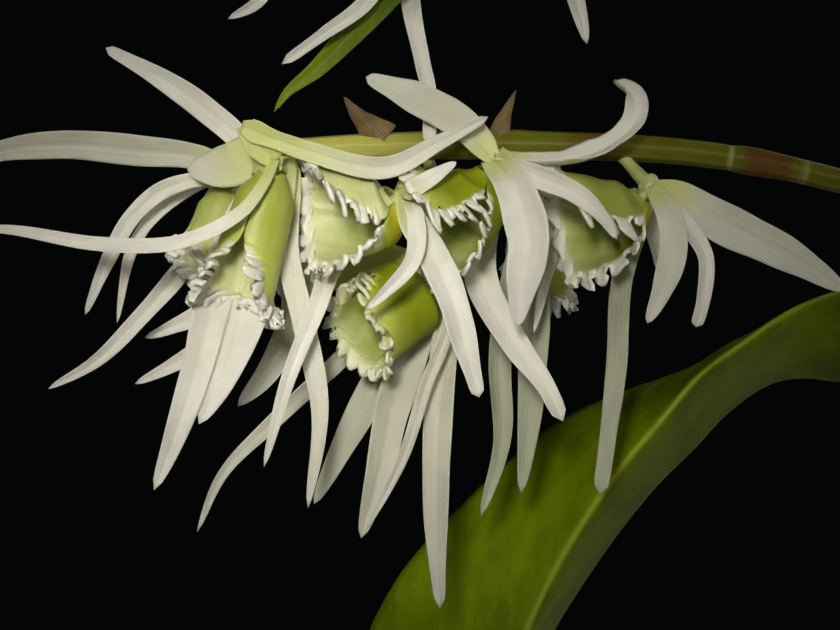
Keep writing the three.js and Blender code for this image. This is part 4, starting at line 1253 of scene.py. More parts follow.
@dataclass(frozen=True)
class Cane:
    """A jointed cane, the papery sheaths on its older joints, and the bracts on its flowering end.

    Blush and rings are places on it, as shares of its length, that are red-brown or ringed pale.
    """

    number: int
    places: Rows
    radii: Rows
    traced: Rows = ()
    bracts: tuple[tuple[float, Rows], ...] = ()
    sheathed: float = 0.6
    young: float = 0.8
    ripens: float = 0.12
    blush: tuple[float, ...] = ()
    rings: tuple[float, ...] = ()
    joint: float = 25.0
    sides: int = 18
    rows_each_mm: float = 1.3
    sheath_sides: int = 40
    sheath_rows: int = 14
    sheath_wall: float = 0.16

    def path(self) -> Path:
        """The middle line from its foot to its tip."""
        upright = np.array(self.places, float)
        return Path(np.vstack([upright, SHEET.place(self.traced)]) if self.traced else upright)

    def radius_at(self, share: float) -> float:
        """The plain radius at a share of the length."""
        return float(profile(self.radii, np.array([share]))[0])

    def joints(self) -> Array:
        """Shares of the length at which the joints stand."""
        count = round(self.path().length() / self.joint)
        return np.arange(1, count) / count

    def skin(self) -> Skin:
        """A stem whose radius swells at each joint as a bell, with a groove just above it.

        Green runs from old to young, tone is age, and edge is above 0 on rings and below 0 on scars.

        Returns:
            The closed body.
        """
        path = self.path()
        length = path.length()
        share = np.linspace(0, 1, int(length * self.rows_each_mm))
        near = (share[:, None] - self.joints()[None]) * length
        swell = bump(near, 0, 2.6).sum(1) * 0.13 - bump(near, 2.2, 0.7).sum(1) * 0.09
        radius = profile(self.radii, share) * (1 + swell)
        radius[-6:] *= np.sqrt(1 - np.linspace(0, 0.97, 6) ** 2)
        turn = 7 * around(self.sides) + 2 * np.sin(share * 9)[:, None]
        ribbed = radius[:, None] * (1 + 0.018 * np.cos(turn))
        edge = bump(near, 1.9, 0.5).sum(1) - 0.4 * bump(near, 0.2, 1.2).sum(1)
        for place in self.rings:
            edge = edge + bump((share - place) * length, 0, 0.75)
        for place in self.blush:
            edge = edge - 0.55 * bump((share - place) * length, 0, 2.2)
        green = smooth(share, self.young - self.ripens, self.young + self.ripens)
        tone = (1 - smooth(share, 0.1, self.young)) * 0.8
        return stem(path, ribbed, self.sides, green=green, tone=tone, edge=edge)

    def sheath(self, low: float, high: float, seed: int) -> Skin:
        """A papery wall round the cane, from one share of its length to a ragged edge near another.

        The wall's radius is the cane's plus a little that grows upward, and its height falls by sines
        round it.

        Args:
            low: Where it starts.
            high: Where its highest points end.
            seed: Fixes its edge.

        Returns:
            The closed wall.
        """
        path, sides, rows = self.path(), self.sheath_sides, self.sheath_rows
        angle = around(sides)
        chance = np.random.default_rng(seed)
        waves = [np.sin(n * angle + chance.uniform(0, 6.3)) / n for n in (1, 2, 3, 5, 8, 13)]
        ragged = np.clip(sum(waves), -1.5, 1.5) / 3 + 0.5
        run = np.linspace(0, 1, rows)
        share = low + (high - low) * run[:, None] * (0.45 + 0.55 * ragged[None])
        flat, at = share.reshape(-1), np.linspace(0, 1, 200)
        middle = path.at(flat).reshape(rows, sides, 3)
        across, out = (unit(read(axes, at, flat)).reshape(rows, sides, 3) for axes in path.axes(at))
        spoke = spokes(across, out, angle)
        core = profile(self.radii, flat).reshape(rows, sides) * (1.0 + 0.15 * bump(run, 0, 0.1)[:, None])
        off = 0.3 + run[:, None] * (0.25 + 0.5 * ragged[None] ** 2)
        outer = middle + spoke * (core + off)[..., None]
        inner = middle + spoke * (core + off - self.sheath_wall)[..., None]
        edge = each_row(smooth(run, 0.55, 1), sides)
        turn = each_column(angle / np.pi - 1, rows)
        marks = {"edge": np.vstack([edge, edge[::-1]]), "across": np.vstack([turn, turn])}
        return tube(np.vstack([outer, inner[::-1]]), marks, 1, loop=True)

    @staticmethod
    def bract(width: float, places: Rows) -> Skin:
        """A pointed scale of a width that stands up from the cane through places on the sheet.

        Args:
            width: Its width.
            places: Its middle line, from its root.

        Returns:
            The closed body.
        """
        blade = Blade(SHEET.place(places), width, BRACT_OUTLINE, thick=0.3, cup=-0.5, keel=-0.25, ripple=0.14,
                      lean=0.2, seed=int(width * 100))
        skin = blade.skin(edge=0.4 * smooth(blade.shares(), 0.5, 1.0))
        skin.finish = 1
        return skin

    def build(self, finishes: Sequence[Material]) -> None:
        """Makes the cane with its sheaths and bracts.

        Args:
            finishes: The finishes of the cane and of its papery scales.
        """
        joints = self.joints()
        skins = [self.skin()]
        for k, low in enumerate(joints[:-1]):
            if 0.14 < low < self.sheathed:
                high = low + (joints[k + 1] - low) * (0.55 + 0.4 * ((k * 7) % 5) / 5)
                skins.append(self.sheath(low + 0.002, high, self.number * 31 + k))
        skins += [self.bract(*bract) for bract in self.bracts]
        make_piece(f"jointed_cane_{self.number}", skins, finishes, Slot.CANE, [f"cane_{self.number}"])


# Blades: tepals, leaves and bracts


@dataclass(frozen=True)
class Blade:
    """A strap along a curve, whose width follows an outline and whose margins ripple.

    Cup is how far the margins stand out of the face, as a share of half the width. Keel is the depth of
    the fold along the middle, in the same share. Spin turns the blade about its own line, in radians.
    """

    points: Any
    width: float
    outline: Rows
    faces: Row = TOWARD_EYE
    thick: float = 0.5
    cup: float = 0.2
    keel: float = 0.0
    ripple: float = 0.1
    pace: float = 1.0
    spin: float = 0.0
    rows: int = 44
    columns: int = 13
    tip: float = 0.05
    lean: float = 0.0
    seed: int = 0

    def shares(self) -> Array:
        """Shares of the length at which the rows stand, a little closer at the root."""
        return np.linspace(0, 1, self.rows) ** 1.1

    def half_width(self, share: Array) -> Array:
        """Half the width along the blade, wandering by two sines and rounded at the tip as a circle.

        Args:
            share: Shares of the length.

        Returns:
            One half width a share.
        """
        chance = np.random.default_rng(self.seed)
        a, b = chance.uniform(0, 6.3, 2)
        wander = 1 + 0.03 * np.sin(9 * share + a) + 0.02 * np.sin(21 * share + b)
        close = np.sqrt(np.clip(1 - (np.clip(share - (1 - self.tip), 0, 1) / self.tip) ** 2, 0.004, 1))
        return self.width / 2 * profile(self.outline, share) * wander * close

    def skin(self, **marks: Array) -> Skin:
        """The blade as a sheet with thickness.

        A place is the curve's, plus the across axis by v half widths, plus the out axis by cup times v
        squared, less the keel near v 0, plus the ripple, which grows with the square of v.

        Args:
            marks: One value a row for each name.

        Returns:
            The closed body.
        """
        share, v = self.shares(), np.linspace(-1, 1, self.columns)
        path = Path(self.points)
        across, out = path.axes(share, self.faces)
        turn = (self.spin * share)[:, None]
        across, out = across * np.cos(turn) + out * np.sin(turn), out * np.cos(turn) - across * np.sin(turn)
        half = self.half_width(share)[:, None]
        chance = np.random.default_rng(self.seed + 1)
        phase = chance.uniform(0, 6.3, 4)
        run = path.length() * self.pace * share[:, None]
        wave = sum(
            depth * np.sin(run * pace + start + skew * v[None])
            for (depth, pace, skew), start in zip(MARGIN_WAVES, phase)
        )
        fade = smooth(share, 0.05, 0.3)[:, None]
        lift = half * (self.cup * np.abs(v[None]) ** 1.8 - self.keel * bump(v[None], 0, 0.09))
        lift = lift + self.ripple * wave * v[None] ** 2 * fade + self.lean * half * v[None]
        middle = path.at(share)[:, None] + across[:, None] * (half * v[None])[..., None]
        middle = middle + out[:, None] * lift[..., None]
        thick = self.thick * (0.22 + 0.78 * np.sqrt(1 - v[None] ** 2 * 0.97))
        thick = thick * (1 - 0.45 * share[:, None] ** 3)
        spread = {name: each_row(value, self.columns) for name, value in marks.items()}
        spread |= {"along": each_row(share, self.columns), "across": each_column(v, self.rows)}
        return sheet_skin(middle, each_row(out, self.columns), thick, **spread)


@dataclass(frozen=True)
class Leaf:
    """A keeled strap leaf along its midrib."""

    number: int
    midrib: Any
    width: float
    faces: Row = (0.0, 0.0, 1.0)
    channel: float = 0.16

    def build(self, green: Material) -> None:
        """Makes the leaf.

        Args:
            green: The finish of leaves.
        """
        blade = Blade(self.midrib, self.width, LEAF_OUTLINE, self.faces, thick=0.75, cup=2 * self.channel,
                      keel=0.035, ripple=0.03 * self.width, pace=0.14, rows=76, columns=23, tip=0.03,
                      seed=self.number * 3)
        make_piece(f"strap_leaf_{self.number}", [blade.skin()], [green], Slot.LEAF, [f"leaf_{self.number}"])


@dataclass(frozen=True)
class FoldedLeaf:
    """The big leaf in front, which folds back along its midrib between two traced margins."""

    near: Rows
    midrib: Rows
    far: Rows
    rows: int = 200
    columns: int = 20
    thick: float = 0.62
    bulge: float = 0.05

    def half(self, line: Array, margin: Array, ridge: Array) -> Array:
        """One half: straight from midrib to margin, bowed outward by a sine, and sunk at the midrib.

        Args:
            line: The midrib.
            margin: The margin, row by row beside it.
            ridge: Unit directions out of the fold.

        Returns:
            Places, rows by columns.
        """
        v = np.linspace(0, 1, self.columns)[None, :, None]
        reach = np.linalg.norm(margin - line, axis=1)[:, None, None]
        share = np.linspace(0, 1, self.rows)[:, None, None]
        wave = np.sin(share * 46) * 0.16 + np.sin(share * 21 + 1) * 0.3
        bow = self.bulge * reach * np.sin(np.pi * v) - 0.35 * bump(v, 0, 0.05) + wave * v**2
        return line[:, None] * (1 - v) + margin[:, None] * v + ridge[:, None] * bow

    def build(self, green: Material) -> None:
        """Makes the leaf from its two halves, joined at the midrib.

        Args:
            green: The finish of leaves.
        """
        share = np.linspace(0, 1, self.rows)
        near, line, far = (spline(SHEET.place(rows), share) for rows in (self.near, self.midrib, self.far))
        ridge = -unit(unit(near - line) + unit(far - line))
        left, right = self.half(line, near, ridge), self.half(line, far, ridge)
        middle = np.concatenate([left[:, :0:-1], right], axis=1)
        normal = grid_normals(middle)
        normal *= np.sign(np.sum(normal * ridge[:, None], axis=-1, keepdims=True))
        side = np.linspace(-1, 1, 2 * self.columns - 1)
        thick = self.thick * (0.25 + 0.75 * np.sqrt(1 - side**2 * 0.97))[None] * np.ones((self.rows, 1))
        along, across = each_row(share, len(side)), each_column(side, self.rows)
        skin = sheet_skin(middle, normal, thick, along=along, across=across)
        make_piece("folded_leaf", [skin], [green], Slot.LEAF, ["leaf_1"])


# Blooms


@dataclass(frozen=True)
class Tepal:
    """One petal or sepal, through places after the heart.

    Fresh is the share of its length that stays green, and loose tells that it doesn't start at the heart.
    Base and blunt are how wide its root and its tip are, as shares of its width. Nose is the share of its
    length over which a loose root is rounded, and tip the share over which its far end is. Its grey is
    painted shade, laid on tepals that lie in the shade of others, and lilac is how lilac it is toward its
    tip.
    """

    width: float
    places: Array
    loose: bool = False
    fresh: float = 0.24
    cup: float = 0.42
    spin: float = 0.0
    lilac: float = 0.0
    faces: Row = TOWARD_EYE
    ripple: float = 0.14
    base: float = 0.62
    blunt: float = 0.2
    nose: float = 0.0
    tip: float = 0.05
    dim: float = 0.0

    def skin(self, heart: Array, seed: int) -> Skin:
        """The blade of the tepal.

        Args:
            heart: The bloom's heart.
            seed: Fixes its small wander.

        Returns:
            The closed body.
        """
        points = self.places if self.loose else np.vstack([heart, self.places])
        outline = [(place, max(wide, self.blunt)) for place, wide in ((0, self.base), *TEPAL_OUTLINE)]
        if self.nose:
            rounded = ((0, 0.15), (0.12, 0.55), (0.35, 0.82), (1, 1))
            outline[:1] = [(share * self.nose, wide * self.base) for share, wide in rounded]
        chance = np.random.default_rng(seed)
        lean, cup = chance.uniform(-0.35, 0.35), self.cup * chance.uniform(0.6, 1.5)
        blade = Blade(points, self.width, outline, self.faces, cup=cup, spin=self.spin, lean=lean,
                      ripple=self.ripple, keel=0.12, tip=self.tip, seed=seed)
        share = blade.shares()
        green = 1 - smooth(share, self.fresh * 0.25, self.fresh * 1.25)
        # Tone below 0 is the grey painted shade of a tepal that lies in shade.
        return blade.skin(green=green, tone=self.lilac * smooth(share, 0.55, 0.9) - self.dim)


@dataclass(frozen=True)
class Lip:
    """A lip: a sheet rolled to a tube at the heart, which opens to a trumpet with white crisped margins.

    Puff is how much thicker its margins are, white how white they are, pale how pale its outside is, and
    cream how pale its throat. White below 1 lays grey painted shade on the crisps of a lip that lies in
    shade. Band is how broad the margin is, frill how high its crisps stand, and flare how far it stands
    out. Waves counts the crisps along each side, and ring how many more of them, as a share of waves, run
    round each half of the front.

    Angles count from the tube's back, so the sheet is closed at pi. Rolled and open are its half angles
    at the heart and at the mouth, and opens is where along it the gap grows. Faces is what the gap looks
    toward. Spot is where a yellow spot lies, along it and across it.
    """

    places: Array
    faces: Row
    mouth: float = 2.6
    open: float = 2.0
    opens: tuple[float, float] = (0.2, 0.8)
    tube: float = 1.3
    rolled: float = 3.12
    flare: float = 0.9
    frill: float = 0.6
    waves: float = 8.0
    ring: float = 0.6
    band: float = 1.7
    cream: float = 0.5
    rows: int = 84
    columns: int = 107
    thick: float = 0.26
    seed: int = 0
    spot: tuple[float, float] | None = None
    pale: float = 0.0
    white: float = 1.0
    puff: float = 0.3

    def place(self, path: Path, u: Array, v: Array) -> tuple[Array, Array]:
        """The plain trumpet at grids of u and v, and the direction out of it.

        Across it the sheet is an arc of a circle round the path. The arc's radius grows from tube to
        mouth, and its half angle falls from rolled to open, and once more toward the front.

        Args:
            path: The tube's middle line.
            u: Shares of its length, up to a little past its end.
            v: Places across it, from -1 to 1.

        Returns:
            The places, and the directions.
        """
        at = np.linspace(0, 1.06, 160)
        on, past = np.minimum(at, 1), np.maximum(at - 1, 0)[:, None]
        tables = (path.at(on) + path.along(1.0) * path.length() * past, *path.axes(on, self.faces))
        flat = u.reshape(-1)
        middle, across, out = (read(table, at, flat).reshape(*u.shape, 3) for table in tables)
        opening = smooth(u, *self.opens)
        angle = (self.rolled + (self.open - self.rolled) * opening) * v
        angle = angle * profile(LIP_OUTLINE, flat).reshape(u.shape)
        radius = self.tube + (self.mouth - self.tube) * smooth(u, -0.1, 1.0)
        radius = radius * (1 - 0.6 * (1 - smooth(u, -0.05, 0.22)))
        spoke = across * np.sin(angle)[..., None] - out * np.cos(angle)[..., None]
        return middle + spoke * radius[..., None], unit(spoke)

    def skin(self, path: Path) -> Skin:
        """The lip as a sheet with thickness.

        The crisps are folds square to the margin: the sheet moves out by the sine of the place along the
        margin and along the margin by the sine of twice that, both times the closeness to the margin.
        They are calmer at the front corners, where two margins meet.

        Args:
            path: The tube's middle line.

        Returns:
            The closed body.
        """
        chance = np.random.default_rng(self.seed)
        phase = chance.uniform(0, 6.3, 8)
        u = np.linspace(0, 1, self.rows)[:, None] + np.zeros((1, self.columns))
        v = np.linspace(-1, 1, self.columns)[None] + np.zeros((self.rows, 1))
        inner = 1 - self.band / (self.open * self.mouth)
        side = smooth(u, self.opens[0], self.opens[0] + 0.3) * smooth(np.abs(v), inner, 1.0)
        front = smooth(u, 1 - self.band / path.length(), 1.0)
        edge = 1 - (1 - side) * (1 - front)
        calm = 1 - 0.65 * side * front
        start = np.where(v > 0, phase[0], phase[1])
        jitter = (0.9 * np.sin(u * 12 + start) + 0.5 * np.sin(u * 27 + phase[2] + start)) * np.abs(v)
        run = 2 * np.pi * self.waves * (u + self.ring * (1 - np.abs(v)) * smooth(u, 0.55, 1)) + jitter
        fold = np.sin(run) + 0.3 * np.sin(2.37 * run + phase[3])
        slide = -0.15 * edge**1.5 * np.sin(2 * run) / self.waves
        uneven = np.sin(run + 0.8) + 0.6 * np.sin(0.73 * run + phase[4]) + 0.4 * np.sin(1.9 * run + phase[5])
        pull = 0.055 * calm * edge * uneven
        moved_u = np.clip(u + slide * (side > front) + pull * front, 0, 1.05)
        moved_v = v + slide * (side <= front) + pull * side * np.sign(v)
        middle, spoke = self.place(path, moved_u, moved_v)
        rise = self.frill * calm * edge**1.6 * fold + self.flare * edge**2
        teeth = 0.06 * smooth(edge, 0.8, 1) * np.sin(5.3 * run + phase[6])
        middle = middle + spoke * (rise + teeth)[..., None]
        normal = grid_normals(middle)
        normal *= -np.sign(np.sum(normal * spoke))
        throat = (1 - smooth(u, 0.25, 1.15 - 0.6 * self.cream)) * (1 - 0.8 * edge)
        ridges = (bump(v, -0.12, 0.035) + bump(v, 0.12, 0.035)) * smooth(u, 0.1, 0.3) * (1 - front)
        middle = middle + normal * (0.25 * ridges)[..., None]
        tone = np.zeros_like(u) - self.pale
        if self.spot:
            spot = bump(u, self.spot[0], 0.14) * bump(v, self.spot[1], 0.3)
            tone = spot + tone * (1 - smooth(spot, 0, 0.3))
        thick = self.thick * (1 + self.puff * edge**2 * (0.8 + 0.2 * np.sin(run + phase[7])))
        # Edge is scaled by white: white below 1 greys the crisps as painted shade.
        return sheet_skin(middle, normal, thick, green=throat * (1 - self.cream), edge=edge * self.white,
                          tone=tone, across=v, along=u)


@dataclass(frozen=True)
class Bloom:
    """A bloom: its stalk, the chin at its heart, its column, five tepals or so, and its lip."""

    name: str
    heart: Array
    stalk: Array
    tepals: tuple[Tepal, ...]
    lip: Lip
    cup: float = 1.0
    column: float = 3.0
    chin: Row = (0.85, 0.8, 1.15)
    cap: Row = (0.66, 0.6, 0.5)
    rim: Row = (0.69, 0.63, 0.14)

    def body(self, down: Array) -> list[Skin]:
        """Stalk, chin and column. The column is a stem that widens to a cap, which is a flattened ball.

        Args:
            down: Unit direction from the heart into the lip.

        Returns:
            The closed bodies.
        """
        leave = unit(np.vstack([self.stalk, self.heart])[1] - self.stalk[0])
        line = Path(np.vstack([self.stalk[0] - leave, self.stalk, self.heart]))
        share = np.linspace(0, 1, 30)
        thick = 0.5 + 0.3 * share + 0.15 * bump(share, 0.1, 0.12)
        stalk = stem(line, thick, 14, green=1 + 0 * share)
        side = unit(np.cross(down, np.array([0.2, 1.0, 0.3])))
        axes = np.stack([side, np.cross(side, down), down])
        halves = (np.array(half)[:, None] for half in (self.chin, self.cap, self.rim))
        chin_axes, cap_axes, rim_axes = (axes * half for half in halves)
        chin = ball(self.heart - 0.8 * leave, chin_axes, 14, 20, green=1.0)
        reach = np.linspace(0, 1, 16)
        core = Path(np.stack([self.heart, self.heart + down * self.column * 0.92]))
        thick = 0.5 + 0.2 * smooth(reach, 0.2, 0.9) - 0.06 * bump(reach, 0.25, 0.2)
        pillar = stem(core, thick, 16, 1, tone=0.6 * smooth(reach, 0.35, 0.9))
        cap = ball(self.heart + down * self.column, cap_axes, 10, 16, 1, tone=1)
        rim = ball(self.heart + down * (self.column - 0.34), rim_axes, 6, 16, 1, tone=0.6, edge=1)
        return [stalk, chin, pillar, cap, rim]

    def build(self, finishes: Sequence[Material], lip_finish: Material, seed: int) -> None:
        """Makes the flower and its lip.

        Args:
            finishes: The finishes of tepals and of the column.
            lip_finish: The finish of the lip.
            seed: Fixes its small wander.
        """
        down = unit(self.lip.places[0] - self.heart)
        skins = [tepal.skin(self.heart, seed * 20 + k) for k, tepal in enumerate(self.tepals)]
        make_piece(f"flower_{self.name}", skins + self.body(down), finishes, Slot.TEPAL,
                   [f"bloom_{self.name}"])
        start = self.heart + down * (self.cup + GAP)
        lip = self.lip.skin(Path(np.vstack([start, self.lip.places])))
        make_piece(f"frilled_lip_{self.name}", [lip], [lip_finish], Slot.LIP, [f"lip_{self.name}"])


# A lip that is seen only from far off or from behind has a coarser grid
FAR_LIP = {"rows": 52, "columns": 57}


def petal(width: float, *places: Row, **more: Any) -> Tepal:
    """A tepal through places on the sheet."""
    return Tepal(width, SHEET.place(places), **more)


def tongue(faces: Row, mouth: float, open: float, *places: Row, **more: Any) -> Lip:
    """A lip through places on the sheet."""
    return Lip(SHEET.place(places), faces, mouth, open, **more)


def traced_bloom(name: str, heart: Row, stalk: Rows, lip: Lip, *tepals: Tepal) -> Bloom:
    """A bloom whose heart and stalk are places on the sheet."""
    return Bloom(name, SHEET.place([heart])[0], SHEET.place(stalk), tepals, lip)


@dataclass(frozen=True)
class Hanging:
    """A bloom that hangs from the rear cane, with its tepals splayed round its axis.

    Share is where on the cane it hangs, across and drop are how far beside and under it, and curve is how
    far a tepal has gone along its ray, along the axis and down at each place, as shares of its length.
    """

    name: str
    share: float
    across: float
    drop: float
    axis: tuple[float, float, float]
    seed: int
    curve: tuple[tuple[float, float, float], ...] = (
        (0.16, 0.05, 0), (0.38, 0.36, 0), (0.44, 0.66, 0.04), (0.42, 0.92, 0.1),
    )

    def bloom(self, cane: Cane) -> Bloom:
        """Works out the bloom where its cane carries it.

        Each tepal leaves the heart along its own ray, and then runs along the axis and sinks.

        Args:
            cane: The cane that it hangs from.

        Returns:
            The bloom.
        """
        path = cane.path()
        root, along = path.at(self.share)[0], path.along(self.share)[0]
        cross = unit(np.cross(along, UP))
        heart = root + cross * self.across - UP * self.drop
        start = root + unit(heart - root) * (cane.radius_at(self.share) + GAP)
        axis = unit(np.array(self.axis))
        side = unit(np.cross(axis, UP))
        front = np.cross(side, axis)
        draw = Draws(self.seed).take(6)
        tepals = []
        for k in range(5):
            angle = 2 * np.pi * (k + draw[0]) / 5
            ray = side * np.cos(angle) + front * np.sin(angle)
            length = 19 + 5 * draw[k + 1]
            out, far, sink = np.array(self.curve).T[..., None]
            places = heart + length * (out * ray + far * axis - sink * UP)
            tepals.append(Tepal(3.0 if k % 2 == 0 else 2.2, places, faces=tuple(ray)))
        lip = Lip(heart + np.array([[0.2], [0.42], [0.62]]) * 21 * axis, tuple(front), 2.8, 1.9, **FAR_LIP)
        return Bloom(self.name, heart, start[None], tuple(tepals), lip)


CANES = (
    Cane(1, ((-12, -7, 68), (-12, -8, 150), (-11, -13, 225), (-14, -18, 257), (-24, -22, 284),
         (-40, -24, 305), (-58, -25, 316.5)),
         ((0, 2.8), (0.15, 3), (0.5, 2), (0.8, 1.15), (0.88, 1.3), (0.93, 1.45), (0.98, 1.5), (1, 0.9)),
         traced=((84, 18.1, 0), (75, 16.1, 0), (66, 15, 0), (50, 14.5, 0), (36, 14.7, 0), (26, 15.3, 0)),
         bracts=((2.3, ((49.9, 14, -0.9), (50.2, 12.4, -1.2), (50.9, 10.6, -1.2), (51.6, 9, -0.9))),
                 (3.6, ((38.4, 14, -0.9), (36.8, 12.5, -1.3), (35.5, 11.2, -1.3), (34.4, 9.7, -1)))),
         rings=(0.8418, 0.822), blush=(0.848, 0.853, 0.899, 0.907), young=0.955, ripens=0.025),
    Cane(2, ((-4, 10, 68), (-3, 12, 160), (-4, 12, 250), (-10, 6, 310), (-24, -2, 348), (-48, -10, 366),
         (-75, -14, 372), (-100, -15, 373), (-125, -15, 370), (-138, -15, 367)), ((0, 2.8), (0.15, 3),
         (0.5, 2.1), (0.8, 1.4), (0.98, 1.5), (1, 0.9))),
    Cane(3, ((8, -18, 68), (12, -22, 150), (4, -16, 225), (-18, -4, 275), (-40, -4, 304), (-54, -5, 322)),
         ((0, 2.8), (0.2, 3), (0.7, 2.1), (1, 1.3)), sheathed=0.75),
    Cane(4, ((14, 8, 68), (18, 9, 150), (26, 10, 220), (40, 12, 285), (54, 12, 332)), ((0, 2.8), (0.2, 3),
         (0.7, 2.2), (1, 1.3))),
    Cane(5, ((26, -12, 68), (33, -17, 130), (46, -25, 180), (64, -32, 222)), ((0, 2.6), (0.25, 2.9),
         (0.7, 2.1), (1, 1.2)), sheathed=0.45),
    Cane(6, ((-16, 20, 68), (-20, 28, 140), (-30, 42, 196), (-48, 58, 228), (-74, 72, 240), (-92, 78, 234)),
         ((0, 2.8), (0.2, 3), (0.7, 1.8), (1, 1.1))),
    Cane(7, ((8, 28, 68), (12, 38, 140), (22, 54, 205), (36, 70, 258)), ((0, 2.8), (0.2, 3), (0.7, 2.2),
         (1, 1.3)), sheathed=0.5),
    Cane(8, ((-28, -14, 68), (-34, -18, 105), (-44, -24, 140)), ((0, 2.4), (0.4, 2.6), (1, 1.1)),
         sheathed=0.4),
)

BIG_LEAF = FoldedLeaf(
    near=((108.2, 29.9, 17.9), (97.6, 34, 19.5), (85.2, 38, 22.5), (80.5, 37.7, 25), (76.6, 38.6, 26.5),
          (72.8, 41.2, 27.5), (69.3, 44.9, 28), (64.8, 49.4, 29), (59.8, 56, 30.5), (55.5, 63, 32),
          (52.2, 72.5, 33.5), (50.4, 84.6, 33), (48.6, 96, 30)),
    midrib=((108.2, 28, 17.1), (97, 26, 14.6), (84, 29, 14), (79, 31.1, 13.4), (74, 34.5, 13), (70, 37.5, 13),
            (66, 42.2, 13), (62, 47, 13.5), (57, 54.5, 15), (53, 62.5, 17), (50, 72, 20), (48.5, 84, 24),
            (48, 96, 29)),
    far=((108.4, 28.4, 19), (97.4, 29.5, 24), (84.6, 32.5, 25.5), (79.2, 33, 27), (73.6, 34.2, 28),
         (69, 36.8, 28.5), (62.7, 39.1, 28.5), (55.9, 42.2, 27.5), (46.5, 50.2, 26.3), (39.8, 58, 24.5),
         (35.5, 69.5, 27), (39, 82.5, 29.5), (47.2, 96, 30)),
)

TRACED_LEAVES = (
    Leaf(2, SHEET.place(((60, -30.6, 8), (52, -18, 2), (44, -7, 1), (38.3, 0, 2.4), (35, 3.5, 2.8),
                         (31.6, 7, 3), (28.8, 9.2, 3), (27.4, 11.2, 3))), 3.7, TOWARD_EYE),
    Leaf(3, SHEET.place(((79.4, -27.8, 12.2), (83.5, -13, 13), (88, -3, 13), (93, 5.5, 13),
                         (96.5, 12.5, 13))), 10, TOWARD_EYE),
)

# Leaves away from the sheet: cane, share of its length, compass angle, length, rise and width
GROWN_LEAVES = (
    (3, 0.5, -70, 90, 0.3, 20), (4, 0.62, -10, 105, 0.3, 22), (4, 0.8, 170, 80, 0.4, 20),
    (4, 0.96, 10, 110, 0.35, 22), (5, 0.5, -60, 85, 0.3, 20), (5, 0.72, 20, 95, 0.3, 21),
    (5, 0.95, -30, 100, 0.3, 20), (6, 0.4, 160, 80, 0.3, 19), (7, 0.5, 100, 90, 0.3, 20),
    (7, 0.74, 30, 100, 0.3, 22), (7, 0.96, 70, 105, 0.3, 21), (8, 0.55, 240, 60, 0.35, 16),
    (8, 0.95, 190, 70, 0.35, 17),
)

# A leaf's arch: how far out and how far up it has gone, in shares of its length
LEAF_ARCH = ((0.16, 0), (0.5, 0.12), (0.8, -0.04), (0.98, -0.28))

